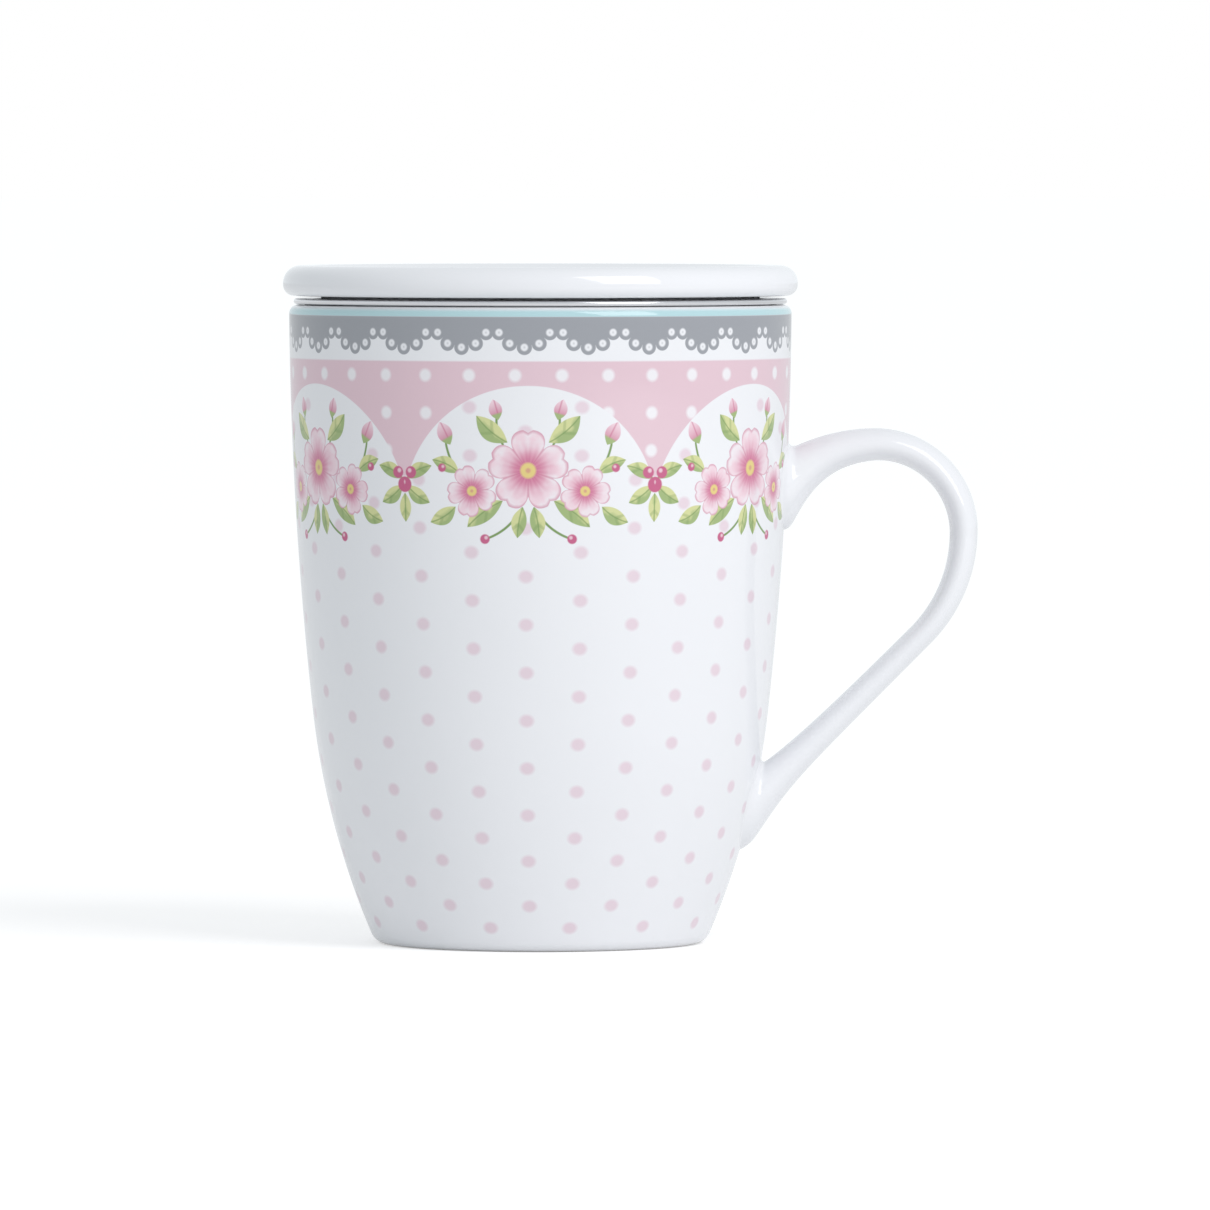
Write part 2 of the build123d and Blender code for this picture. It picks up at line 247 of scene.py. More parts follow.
class PrintColours(bpy.types.PropertyGroup):
    """Colours of the glaze and of the print."""

    porcelain: colour("Porcelain", "White glazed porcelain", srgb(239, 240, 243))
    biscuit: colour("Biscuit", "Bare porcelain where the glaze was wiped off", srgb(226, 220, 209))
    line: colour("Line", "Line at the rim", srgb(180, 214, 219))
    lace: colour("Lace", "Lace border", srgb(155, 158, 164))
    band: colour("Band", "Dotted band", srgb(225, 196, 206))
    dots: colour("Dots", "Dots below the border", srgb(229, 211, 220))
    petal_pale: colour("Pale petal", "Outer part of a petal", srgb(239, 213, 222))
    petal_mid: colour("Petal", "Middle of a petal", srgb(224, 160, 183))
    petal_deep: colour("Deep petal", "Heart and outline of a petal", srgb(196, 90, 132))
    heart: colour("Flower heart", "Middle of a flower", srgb(228, 206, 128))
    leaf_light: colour("Light leaf", "Lit half of a leaf", srgb(210, 214, 152))
    leaf_dark: colour("Dark leaf", "Shaded half of a leaf", srgb(158, 180, 118))
    stem: colour("Stem", "Stems and veins", srgb(118, 150, 84))


class SteelFinish(bpy.types.PropertyGroup):
    """Colours and finishes of the steel."""

    polished: colour("Polished steel", "Flange and collar", srgb(216, 216, 218))
    polished_rough: number("Polished roughness", "Least roughness of the flange and collar", 0.08)
    polished_lines: number("Polished lines", "Turned lines to the metre of the flange and collar", 2600.0)
    polished_depth: mm("Polished depth", "Depth of those lines", 0.008)
    satin: colour("Satin steel", "Perforated sheet", srgb(204, 205, 207))
    satin_rough: number("Satin roughness", "Least roughness of the perforated sheet", 0.22)
    satin_lines: number("Satin lines", "Lines to the metre of the perforated sheet", 1800.0)
    satin_depth: mm("Satin depth", "Depth of those lines", 0.012)


class StageSettings(bpy.types.PropertyGroup):
    """Light and camera."""

    target: FloatVectorProperty(
        name="Target", description="Point that the camera looks at", default=(10.8 * MM, 0.0, 56.5 * MM),
        subtype="XYZ", unit="LENGTH",
    )
    distance: length("Distance", "Distance from the camera to the target", 2.1)
    pitch: angle("Pitch", "How far the camera looks down", 2.03)
    frame_width: mm("Frame width", "Width of the picture at the target", 202.4)
    ambient: number("Ambient", "Strength of the light from all round", 0.612)
    ambient_glossy: number("Ambient gloss", "Strength of the light from all round in reflections", 0.95)
    ambient_tint: colour("Ambient tint", "Colour of the light from all round", (0.955, 1.0, 1.03))
    key_power: FloatProperty(name="Key power", description="Power of the soft box", default=7.7, unit="POWER")
    key_tint: colour("Key tint", "Colour of the soft box", (1.0, 0.975, 0.98))
    key_bearing: angle("Key bearing", "Bearing of the soft box, right of the camera", 41.0)
    key_height: angle("Key height", "Height of the soft box above the table, as an angle", 33.0)
    key_distance: length("Key distance", "Distance of the soft box", 1.3)
    key_width: length("Key width", "Width of the soft box", 0.66)
    key_tall: length("Key tallness", "Height of the soft box", 1.1)
    floor_radius: length("Floor radius", "Radius of the floor", 40.0)
    floor_white: number("Floor white", "Share of light that the floor gives back", 0.97)
    floor_glow: number("Floor glow", "Strength of the floor's white glow far from the mug", 1.99)
    floor_dip: number("Floor dip", "How much less the glow is at the mug", 0.34)
    floor_fade: length("Floor fade", "Distance over which the dip fades", 0.5)
    floor_camera: number("Floor to camera", "Share of the glow in what the camera sees", 0.3)
    floor_glossy: number("Floor to gloss", "Share of the glow in reflections", 0.15)


class TeaMugSettings(bpy.types.PropertyGroup):
    """Everything that the panel shows."""

    mug: PointerProperty(type=MugSizes)
    handle: PointerProperty(type=HandleSizes)
    lid: PointerProperty(type=LidSizes)
    infuser: PointerProperty(type=InfuserSizes)
    print_sizes: PointerProperty(type=PrintSizes)
    print_colours: PointerProperty(type=PrintColours)
    steel: PointerProperty(type=SteelFinish)
    stage: PointerProperty(type=StageSettings)


# Profiles and surfaces


def arc(centre, radius, start, end, steps):
    """Points of a circle between two bearings: centre + radius * (cos, sin)."""
    bearing = np.linspace(start, end, steps)
    return np.column_stack((centre[0] + radius * np.cos(bearing), centre[1] + radius * np.sin(bearing)))


def bearing_of(centre, point):
    """Bearing of a point from the centre of an arc."""
    return math.atan2(point[1] - centre[1], point[0] - centre[0])


def thinned(points):
    """The same points without neighbours that coincide."""
    gap = np.linalg.norm(np.diff(points, axis=0), axis=1)
    return points[np.concatenate(([True], gap > SAME_PLACE))]


def rounded(corners, closed, steps=9):
    """Outline of (radius, height, round) corners, each replaced by the arc that touches both its sides.

    The arc's centre lies on the bisector of the corner at round / sin(half angle), and the arc starts and
    ends at round / tan(half angle) from the corner.
    """
    table = np.array(corners, float)
    point, size = table[:, :2], table[:, 2]
    to_last = np.roll(point, 1, axis=0) - point
    to_next = np.roll(point, -1, axis=0) - point
    to_last /= np.linalg.norm(to_last, axis=1)[:, None]
    to_next /= np.linalg.norm(to_next, axis=1)[:, None]
    half = np.arccos(np.clip((to_last * to_next).sum(1), -1, 1)) / 2
    middle = to_last + to_next
    middle /= np.linalg.norm(middle, axis=1)[:, None]
    centre = point + middle * (size / np.sin(half))[:, None]
    start = point + to_last * (size / np.tan(half))[:, None] - centre
    end = point + to_next * (size / np.tan(half))[:, None] - centre
    first = np.arctan2(start[:, 1], start[:, 0])
    turn = np.arctan2(end[:, 1], end[:, 0]) - first
    turn = (turn + np.pi) % (2 * np.pi) - np.pi
    bearing = first[:, None] + turn[:, None] * np.linspace(0, 1, steps)
    sharp = (size == 0)[:, None]
    across = np.where(sharp, point[:, :1], centre[:, :1] + size[:, None] * np.cos(bearing))
    along = np.where(sharp, point[:, 1:], centre[:, 1:] + size[:, None] * np.sin(bearing))
    if not closed:
        across[[0, -1]] = point[[0, -1], :1]
        along[[0, -1]] = point[[0, -1], 1:]
    return thinned(np.column_stack((across.ravel(), along.ravel())))


def spin(profile, columns):
    """Points (radius * cos, radius * sin, height) of a profile carried round the axis, ring by ring."""
    bearing = 2 * np.pi * np.arange(columns) / columns
    radius, height = profile[:, :1], profile[:, 1:]
    level = np.broadcast_to(height, (len(profile), columns))
    return np.stack((radius * np.cos(bearing), radius * np.sin(bearing), level), axis=-1)


def quads(rows, columns, closed):
    """Four-sided faces of a grid whose columns close on themselves, and whose rows may."""
    row = np.arange(rows if closed else rows - 1)[:, None] * columns
    below = (row + columns) % (rows * columns)
    column = np.arange(columns)[None, :]
    beside = (column + 1) % columns
    return np.stack((row + column, below + column, below + beside, row + beside), axis=-1).reshape(-1, 4)


def fan(centre, ring_start, columns, up):
    """Three-sided faces between one point and a ring, wound to face up or down."""
    ring = ring_start + np.arange(columns)
    after = ring_start + (np.arange(columns) + 1) % columns
    middle = np.full(columns, centre)
    return np.stack((middle, ring, after) if up else (middle, after, ring), axis=-1)


def capped(rings, ends):
    """Closed surface of a grid of rings, whose first and last ring are each joined to a point by a fan."""
    rows, columns = rings.shape[:2]
    points = np.concatenate((rings.reshape(-1, 3), ends))
    first, last = len(points) - 2, len(points) - 1
    start, end = fan(first, 0, columns, True), fan(last, (rows - 1) * columns, columns, False)
    return points, [quads(rows, columns, False), start, end]


def turned(profile):
    """Turned solid: a profile with its material on the right of its path, spun round the axis.

    A profile that starts and ends on the axis gets a point at each end, any other closes on itself.
    """
    if profile[0, 0] > 0:
        return spin(profile, COLUMNS).reshape(-1, 3), [quads(len(profile), COLUMNS, True)]
    poles = np.column_stack((np.zeros(2), np.zeros(2), profile[[0, -1], 1]))
    return capped(spin(profile[1:-1], COLUMNS), poles)


def add_piece(name, points, faces, body, material):
    """Object of the given points and faces that stands for the node of its name and rides on a body."""
    mesh = bpy.data.meshes.new(name)
    mesh.from_pydata(points, [], [face for group in faces for face in group.tolist()])
    mesh.shade_smooth()
    mesh.set_sharp_from_angle(angle=SHARP_EDGE)
    mesh.materials.append(material)
    piece = bpy.data.objects.new(f"{name}_look", mesh)
    bpy.context.scene.collection.objects.link(piece)
    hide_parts(name)
    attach(piece, body)
    return piece


class WallArcs:
    """The two tangent arcs of the mug's wall, as (radius, height) circles.

    The upper arc has its chord from the turn to the rim and rises over it by the bulge. The lower arc
    leaves the turn along the same line and ends at the foot.
    """

    def __init__(self, sizes):
        turn = np.array((sizes.turn_radius, sizes.turn_height))
        rim = np.array((sizes.rim_radius, sizes.height))
        foot = np.array((sizes.foot_radius, 0.0))
        chord = rim - turn
        outward = np.array((chord[1], -chord[0])) / np.linalg.norm(chord)
        self.turn_height = sizes.turn_height
        self.upper_radius = (chord @ chord / 4 + sizes.bulge**2) / (2 * sizes.bulge)
        self.upper_centre = (turn + rim) / 2 + outward * (sizes.bulge - self.upper_radius)
        inward = (self.upper_centre - turn) / self.upper_radius
        fall = foot - turn
        self.lower_radius = fall @ fall / (2 * fall @ inward)
        self.lower_centre = turn + inward * self.lower_radius
        self.turn_bearing = bearing_of(self.upper_centre, turn)

    def radius_at(self, height):
        """Outer radius of the wall at a height."""
        upper = np.sqrt(self.upper_radius**2 - (height - self.upper_centre[1]) ** 2) + self.upper_centre[0]
        lower = np.sqrt(self.lower_radius**2 - (height - self.lower_centre[1]) ** 2) + self.lower_centre[0]
        return np.where(height > self.turn_height, upper, lower)

    def nest(self, upper, reach, height):
        """Centre, at a height, that lies at a distance from the centre of one of the two arcs."""
        centre = self.upper_centre if upper else self.lower_centre
        return np.array((centre[0] + math.sqrt(reach**2 - (height - centre[1]) ** 2), height))


def mug_profile(sizes):
    """Profile of the body from the middle of its floor, up inside, over the rim and down to its base."""
    walls = WallArcs(sizes)
    quarter = math.pi / 2
    inner_upper = walls.upper_radius - sizes.wall
    inner_lower = walls.lower_radius - sizes.wall
    floor = walls.nest(False, inner_lower - sizes.floor_round, sizes.floor_height + sizes.floor_round)
    lip_in = walls.nest(True, inner_upper + sizes.lip_inner_round, sizes.height - sizes.lip_inner_round)
    outer_round = sizes.lip_outer_round
    lip_out = walls.nest(True, walls.upper_radius - outer_round, sizes.height - outer_round)
    foot = walls.nest(False, walls.lower_radius - sizes.foot_round, sizes.foot_round)
    floor_end = bearing_of(walls.lower_centre, floor)
    lip_in_end = bearing_of(walls.upper_centre, lip_in)
    lip_out_end = bearing_of(walls.upper_centre, lip_out)
    foot_end = bearing_of(walls.lower_centre, foot)
    recess_radius = sizes.foot_radius - sizes.foot_width
    recess = rounded(
        (
            (foot[0], 0.0, 0.0),
            (recess_radius, 0.0, sizes.foot_inner_round),
            (recess_radius, sizes.foot_recess, sizes.foot_inner_round),
            (0.0, sizes.foot_recess, 0.0),
        ),
        closed=False,
    )
    flat = np.linspace(0, floor[0], num=8)
    inside = (
        np.column_stack((flat, np.full_like(flat, sizes.floor_height))),
        arc(floor, sizes.floor_round, -quarter, floor_end, steps=20),
        arc(walls.lower_centre, inner_lower, floor_end, walls.turn_bearing, steps=16),
        arc(walls.upper_centre, inner_upper, walls.turn_bearing, lip_in_end, steps=24),
        arc(lip_in, sizes.lip_inner_round, lip_in_end + math.pi, quarter, steps=10),
    )
    outside = (
        arc(lip_out, outer_round, quarter, lip_out_end, steps=14),
        arc(walls.upper_centre, walls.upper_radius, lip_out_end, walls.turn_bearing, steps=60),
        arc(walls.lower_centre, walls.lower_radius, walls.turn_bearing, foot_end, steps=40),
        arc(foot, sizes.foot_round, foot_end, -quarter, steps=10),
        recess,
    )
    inner = thinned(np.concatenate(inside))
    return thinned(np.concatenate((inner, *outside))), len(inner), lip_out[1]


def unrolled_level(profile, first_outside, straight_from):
    """Height in millimetres up the unrolled outer wall, equal to the true height where the lip's round ends.

    Points inside the mug get a level far above the print.
    """
    path = np.concatenate(([0.0], np.cumsum(np.linalg.norm(np.diff(profile, axis=0), axis=1))))
    outside = np.arange(len(profile)) >= first_outside
    start = np.argmax(outside & (profile[:, 1] <= straight_from + SAME_PLACE))
    level = (profile[start, 1] - (path - path[start])) * PER_METRE
    return np.where(outside, level, FAR_LEVEL)


def root_fillet(distance, size):
    """Extra half size of a root near the wall: a quarter circle that meets the wall along its face."""
    share = np.clip(1 - distance / size, 0, 1)
    return size * (1 - np.sqrt(1 - share**2))


def heel_end(distance, sizes):
    """Depth taken off the underside of a root near the wall: a parabola that meets the wall squarely."""
    return sizes.heel_round * np.clip(1 - distance / sizes.heel_round_reach, 0, 1) ** 2


def swelling(distance, reach, end):
    """Share of a root's flare: an exponential that falls from 1 at the wall to 0 at the end."""
    rest = math.exp(-end / reach)
    return (np.exp(-distance / reach) - rest) / (1 - rest)


def handle_rings(sizes, mug):
    """Rings of the handle: middle x and z, lean from +X, half width, half thickness, distance from the wall.

    The upper arm falls towards the wall by a parabola. The bow and the bend are arcs that share a tangent.
    The run is the line from the end of the bend to the lower root. Both roots swell by an exponential and
    end in a fillet, apart from their undersides, which are heels with round ends.
    """
    walls = WallArcs(mug)
    side = (sizes.crown + sizes.run) / 2
    bow_x = mug.rim_radius + sizes.standoff - sizes.bow_radius - side / 2
    bend_x = bow_x + sizes.bow_radius - sizes.bend_radius
    crown_top = sizes.bow_height + sizes.bow_radius + sizes.crown / 2
    upper_x = float(walls.radius_at(sizes.bow_height + sizes.bow_radius - sizes.upper_drop))
    lower_x = float(walls.radius_at(sizes.lower_root))
    to_root = np.array((lower_x - bend_x, sizes.lower_root - sizes.bow_height))
    bend_end = math.atan2(to_root[1], to_root[0]) + math.acos(sizes.bend_radius / np.linalg.norm(to_root))
    slope = math.pi / 2 + bend_end
    quarter = math.pi / 2

    arm_length = bow_x - upper_x
    arm = arm_length * np.linspace(0, 1, ARM_RINGS, endpoint=False) ** 2
    fade = swelling(arm, sizes.upper_reach, arm_length)
    fillet = root_fillet(arm, sizes.seam)
    core = sizes.crown / 2 + sizes.upper_flare * fade
    above = core + fillet
    below = core - heel_end(arm, sizes)
    arm_rings = np.column_stack((
        upper_x + arm,
        crown_top - sizes.droop * (1 - arm / arm_length) ** 2 - core + (above - below) / 2,
        np.zeros_like(arm),
        sizes.width / 2 + sizes.spread * fade + fillet,
        (above + below) / 2,
        arm,
    ))

    turn = np.linspace(quarter, bend_end, BOW_RINGS)
    thickness = sizes.crown + (sizes.run - sizes.crown) * (quarter - turn) / (quarter - bend_end)
    centre_x = np.where(turn >= 0, bow_x, bend_x)
    radius = np.where(turn >= 0, sizes.bow_radius, sizes.bend_radius)
    bow_rings = np.column_stack((
        centre_x + radius * np.cos(turn),
        sizes.bow_height + radius * np.sin(turn),
        turn - quarter,
        np.full_like(turn, sizes.width / 2),
        thickness / 2,
        np.full_like(turn, FAR_FROM_WALL),
    ))

    run_length = bend_x + sizes.bend_radius * math.cos(bend_end) - lower_x
    run = run_length * np.linspace(1, 0, RUN_RINGS + 1)[1:] ** 2
    fade = swelling(run, sizes.spread_reach, run_length)
    fillet = root_fillet(run, sizes.seam)
    upright = np.exp(-((run / (2 * sizes.spread_reach)) ** 2))
    lean = slope * (1 - upright)
    plain = sizes.run / 2 / math.cos(slope)
    above = plain + sizes.lower_flare * swelling(run, sizes.lower_reach, run_length) + fillet
    heel = sizes.heel * swelling(run, sizes.heel_reach, run_length)
    below = plain + heel - heel_end(run, sizes)
    run_rings = np.column_stack((
        lower_x + run,
        sizes.lower_root + run * math.tan(slope) + (above - below) / 2,
        lean - math.pi,
        sizes.width / 2 + sizes.spread * fade + fillet,
        (above + below) / 2 * math.cos(slope) / np.cos(slope - lean),
        run,
    ))
    return np.concatenate((arm_rings, bow_rings, run_rings)), walls


def handle_surface(sizes, mug):
    """Oval sections across the handle's path, whose ends are drawn onto the wall of the mug.

    A point of a section is the ring's middle + half width * cos along Y + half thickness * sin along the
    section. Near a root its x slides onto the wall by exp(-distance / reach). The last ring of each root is
    repeated a little inside the wall and closed.
    """
    rings, walls = handle_rings(sizes, mug)
    x, z, lean, half_width, half_thickness, distance = np.hsplit(rings, rings.shape[1])
    bearing = 2 * np.pi * np.arange(HANDLE_COLUMNS, 0, -1) / HANDLE_COLUMNS
    across = half_width * np.cos(bearing)
    along = half_thickness * np.sin(bearing)
    point_x = x - np.sin(lean) * along
    point_z = z + np.cos(lean) * along
    wall_x = np.sqrt(np.clip(walls.radius_at(point_z) ** 2 - across**2, 0, None))
    hold = np.exp(-distance / sizes.hold_reach)
    point_x += hold * (wall_x + distance - point_x)
    surface = np.stack((point_x, across, point_z), axis=-1)
    sunk = surface[[0, -1]] - np.array((sizes.seam / 2, 0, 0))
    return capped(np.concatenate((sunk[:1], surface, sunk[1:])), sunk.mean(axis=1))


def lid_profile(sizes, low, high):
    """Profile of the lid from the middle of its dish, over the edge and under the ring to the hollow."""
    dish_edge = sizes.radius - sizes.dish_margin
    dish_floor = high - sizes.dish_depth
    bottom = high - sizes.thickness
    ring_inner = sizes.ring_radius - sizes.ring_width
    hollow_top = bottom + sizes.hollow
    corners = (
        (0.0, dish_floor, 0.0),
        (dish_edge - sizes.dish_slope, dish_floor, sizes.dish_round),
        (dish_edge, high, sizes.dish_round),
        (sizes.radius, high, sizes.top_round),
        (sizes.radius, bottom, sizes.bottom_round),
        (sizes.ring_radius, bottom, sizes.ring_round / 2),
        (sizes.ring_radius, low, sizes.ring_round),
        (ring_inner, low, sizes.ring_round),
        (ring_inner, hollow_top, sizes.ring_round),
        (0.0, hollow_top, 0.0),
    )
    return rounded(corners, closed=False, steps=14)


class Cone:
    """The infuser's cone, whose radius grows evenly from its foot to the top of its flange."""

    def __init__(self, sizes, foot_height, flange_height):
        self.foot_radius = sizes.foot_radius
        self.foot_height = foot_height
        self.slope = (sizes.collar_radius - sizes.foot_radius) / (flange_height - foot_height)

    def at(self, height, inset=0.0):
        """Radius at a height, moved inwards from the outer face of the collar."""
        return self.foot_radius + self.slope * (height - self.foot_height) - inset


def collar_profile(sizes, cone, low, high):
    """Closed profile of the hemmed flange and of the skirt bent down from it."""
    under = high - sizes.sheet
    hem_bottom = high - sizes.hem_thickness
    hem_inner = sizes.flange_radius - sizes.hem_width
    corners = (
        (cone.at(high, sizes.sheet), high, sizes.collar_bend + sizes.sheet),
        (sizes.flange_radius, high, sizes.hem_round),
        (sizes.flange_radius, hem_bottom, sizes.hem_round),
        (hem_inner, hem_bottom, 0.0),
        (hem_inner, under, 0.0),
        (cone.at(under), under, sizes.collar_bend),
        (cone.at(low), low, 0.0),
        (cone.at(low, sizes.sheet), low, 0.0),
    )
    return rounded(corners, closed=True)


# Corners and middles of the edge of one cell of the perforation, as steps across and along
CELL = np.array(((-1, -1), (0, -1), (1, -1), (1, 0), (1, 1), (0, 1), (-1, 1), (-1, 0)), float)


def sieve(outer, inner, first, rows, columns, hole_radius, closed_start):
    """Sheet turned from an outer and an inner profile, punched with staggered holes.

    The profiles list the same levels. From the level first on, each row of holes takes two levels. The sheet
    round a hole is the ring of eight quads between an eight-cornered hole and the edge of its cell, whose
    corners and middles are shared with the cells beside it, above and below. The other levels are plain.
    """
    levels, ring, corners = len(outer), 2 * columns, len(CELL)
    grid = np.concatenate((spin(outer, ring).reshape(-1, 3), spin(inner, ring).reshape(-1, 3)))
    side = levels * ring

    row, column = np.meshgrid(np.arange(rows), np.arange(columns), indexing="ij")
    centre_level = (first + 2 * row + 1).reshape(-1, 1)
    centre_column = (2 * column + 1 + row % 2).reshape(-1, 1)
    edge = ((centre_level + CELL[:, 1]) * ring + (centre_column + CELL[:, 0]) % ring).astype(int)

    middle = outer[centre_level[:, 0]]
    step = np.linalg.norm(outer[first + 2] - outer[first]) / 2
    bearing = np.arctan2(CELL[:, 1], CELL[:, 0])
    hole_level = centre_level + hole_radius / step * np.sin(bearing)
    turn_step = 2 * np.pi / ring
    hole_turn = centre_column * turn_step + hole_radius / middle[:, :1] * np.cos(bearing)

    def hole_points(profile):
        """Corners of every hole on one face of the sheet."""
        radius, height = (np.interp(hole_level, np.arange(levels), values) for values in profile.T)
        corner = np.stack((radius * np.cos(hole_turn), radius * np.sin(hole_turn), height), axis=-1)
        return corner.reshape(-1, 3)

    points = np.concatenate((grid, hole_points(outer), hole_points(inner)))
    out_hole = 2 * side + np.arange(rows * columns * corners).reshape(-1, corners)
    in_hole = out_hole + rows * columns * corners
    after = np.roll(np.arange(corners), -1)
    outer_web = np.stack((edge, edge[:, after], out_hole[:, after], out_hole), axis=-1)
    inner_web = np.stack((edge + side, in_hole, in_hole[:, after], edge[:, after] + side), axis=-1)
    bore = np.stack((out_hole, out_hole[:, after], in_hole[:, after], in_hole), axis=-1)

    plain = quads(levels, ring, False).reshape(levels - 1, ring, 4)
    plain = np.concatenate((plain[:first], plain[first + 2 * rows :])).reshape(-1, 4)
    along = np.arange(ring)
    beside = (along + 1) % ring
    top = (levels - 1) * ring
    top_edge = np.stack((top + along, side + top + along, side + top + beside, top + beside), axis=-1)
    faces = [web.reshape(-1, 4) for web in (outer_web, inner_web, bore)]
    faces += [plain[:, ::-1], plain + side, top_edge[:, ::-1]]
    if closed_start:
        middles = np.array(((0.0, 0.0, outer[0, 1]), (0.0, 0.0, inner[0, 1])))
        faces += [fan(len(points), 0, ring, False), fan(len(points) + 1, side, ring, True)]
        points = np.concatenate((points, middles))
    else:
        faces += [np.stack((along, side + along, side + beside, beside), axis=-1)]
    return used_points(points, faces)


def used_points(points, faces):
    """The same surface without the points that no face uses."""
    used = np.unique(np.concatenate([group.ravel() for group in faces]))
    place = np.full(len(points), -1)
    place[used] = np.arange(len(used))
    return points[used], [place[group] for group in faces]


def infuser_wall(sizes, cone):
    """Perforated cone inside the collar, with a plain band where it is lapped at the top and bottom."""
    lap = sizes.sheet + sizes.weld_gap
    low_hole = BASE_HIGH.z + sizes.hole_margin
    high_hole = COLLAR_LOW.z - sizes.hole_margin
    punched = np.linspace(low_hole, high_hole, 2 * sizes.hole_rows + 1)
    height = np.concatenate(((WALL_LOW.z,), punched, (WALL_HIGH.z,)))
    outer = np.column_stack((cone.at(height, lap), height))
    inner = np.column_stack((cone.at(height, lap + sizes.sheet), height))
    return sieve(outer, inner, 1, sizes.hole_rows, sizes.hole_columns, sizes.hole_radius, False)


def infuser_base(sizes, cone):
    """Perforated cup: a flat floor, a round bend and a skirt that laps the foot of the wall outside."""
    bend = sizes.cup_bend + sizes.sheet
    bend_radius = cone.at(BASE_LOW.z + bend) - bend
    ring = np.linspace(sizes.floor_centre, bend_radius - sizes.hole_margin, 2 * sizes.floor_rows + 1)
    innermost = sizes.floor_centre / 3
    flat = np.concatenate(((innermost,), ring))
    low = np.full(len(flat), BASE_LOW.z)
    bend_centre = (bend_radius, BASE_LOW.z + bend)
    outer_bend = arc(bend_centre, bend, -math.pi / 2, 0.0, steps=8)
    inner_bend = arc(bend_centre, sizes.cup_bend, -math.pi / 2, 0.0, steps=8)
    top = BASE_HIGH.z
    outer = np.concatenate((np.column_stack((flat, low)), outer_bend, ((cone.at(top), top),)))
    inner_top = (cone.at(top, sizes.sheet), top)
    inner = np.concatenate((np.column_stack((flat, low + sizes.sheet)), inner_bend, (inner_top,)))
    return sieve(outer, inner, 1, sizes.floor_rows, sizes.floor_columns, sizes.hole_radius, True)


# Materials


class Field:
    """A number that varies over a surface: a socket of a node tree whose arithmetic adds Math nodes."""

    def __init__(self, tree, socket):
        self.tree = tree
        self.socket = socket

    def math(self, operation, *others, clamp=False):
        """This number and others put through one Math node."""
        return math_node(self.tree, operation, self, *others, clamp=clamp)

    def __add__(self, other):
        return self.math("ADD", other)

    def __sub__(self, other):
        return self.math("SUBTRACT", other)

    def __rsub__(self, other):
        return math_node(self.tree, "SUBTRACT", other, self)

    def __mul__(self, other):
        return self.math("MULTIPLY", other)

    def __truediv__(self, other):
        return self.math("DIVIDE", other)

    def __abs__(self):
        return self.math("ABSOLUTE")

    def sin(self):
        """Sine of the number."""
        return self.math("SINE")

    def least(self, other):
        """The lesser of this number and another."""
        return self.math("MINIMUM", other)

    def most(self, other):
        """The greater of this number and another."""
        return self.math("MAXIMUM", other)

    def fold(self, period):
        """The number wrapped into one period about zero."""
        return self.math("WRAP", period / 2, -period / 2)

    def inside(self, softness):
        """1 where the number is above zero and 0 where it is below, with a soft edge between."""
        return (self / softness).math("ADD", 0.5, clamp=True)


def math_node(tree, operation, *values, clamp=False):
    """Field of some numbers put through one Math node."""
    node = tree.nodes.new("ShaderNodeMath")
    node.operation = operation
    node.use_clamp = clamp
    for entry, value in zip(node.inputs, values):
        plug(tree, value, entry)
    return Field(tree, node.outputs["Value"])


def hypotenuse(one, other):
    """Length of a step that goes so far one way and so far at right angles to it."""
    return (one * one + other * other).math("SQRT")


def plug(tree, value, entry):
    """Feeds a socket from a field, a socket, a number or a colour."""
    if isinstance(value, Field):
        tree.links.new(value.socket, entry)
    elif isinstance(value, bpy.types.NodeSocket):
        tree.links.new(value, entry)
    elif isinstance(value, (int, float)):
        entry.default_value = value
    else:
        entry.default_value = (*value, 1.0)


# Places of both colours and of the result among a Mix node's sockets, many of which share their names
MIX_UNDER, MIX_OVER, MIX_RESULT = 6, 7, 2


def mixed(tree, under, over, share):
    """Colour that goes from under to over as the share goes from 0 to 1."""
    node = tree.nodes.new("ShaderNodeMix")
    node.data_type = "RGBA"
    plug(tree, share, node.inputs["Factor"])
    plug(tree, under, node.inputs[MIX_UNDER])
    plug(tree, over, node.inputs[MIX_OVER])
    return node.outputs[MIX_RESULT]


class Place:
    """Object coordinates over a surface, in metres: the whole place, and fields of its x, y and z."""

    def __init__(self, tree):
        node = tree.nodes.new("ShaderNodeTexCoord")
        split = tree.nodes.new("ShaderNodeSeparateXYZ")
        self.whole = node.outputs["Object"]
        tree.links.new(self.whole, split.inputs["Vector"])
        self.x, self.y, self.z = (Field(tree, split.outputs[axis]) for axis in ("X", "Y", "Z"))

    def from_axis(self):
        """Distance from the mug's axis."""
        return hypotenuse(self.x, self.y)


def noise(tree, place, scale, detail=2.0):
    """Noise between 0 and 1 about so many times to the metre."""
    node = tree.nodes.new("ShaderNodeTexNoise")
    node.inputs["Scale"].default_value = scale
    node.inputs["Detail"].default_value = detail
    tree.links.new(place.whole, node.inputs["Vector"])
    return Field(tree, node.outputs["Fac"])


def new_material(name):
    """Node material with its Principled shader."""
    material = bpy.data.materials.new(name)
    material.use_nodes = True
    return material, material.node_tree, material.node_tree.nodes["Principled BSDF"]


def raise_surface(tree, shader, height, distance):
    """Small relief on a shader, so many metres high."""
    bump = tree.nodes.new("ShaderNodeBump")
    bump.inputs["Distance"].default_value = distance
    plug(tree, height, bump.inputs["Height"])
    tree.links.new(bump.outputs["Normal"], shader.inputs["Normal"])


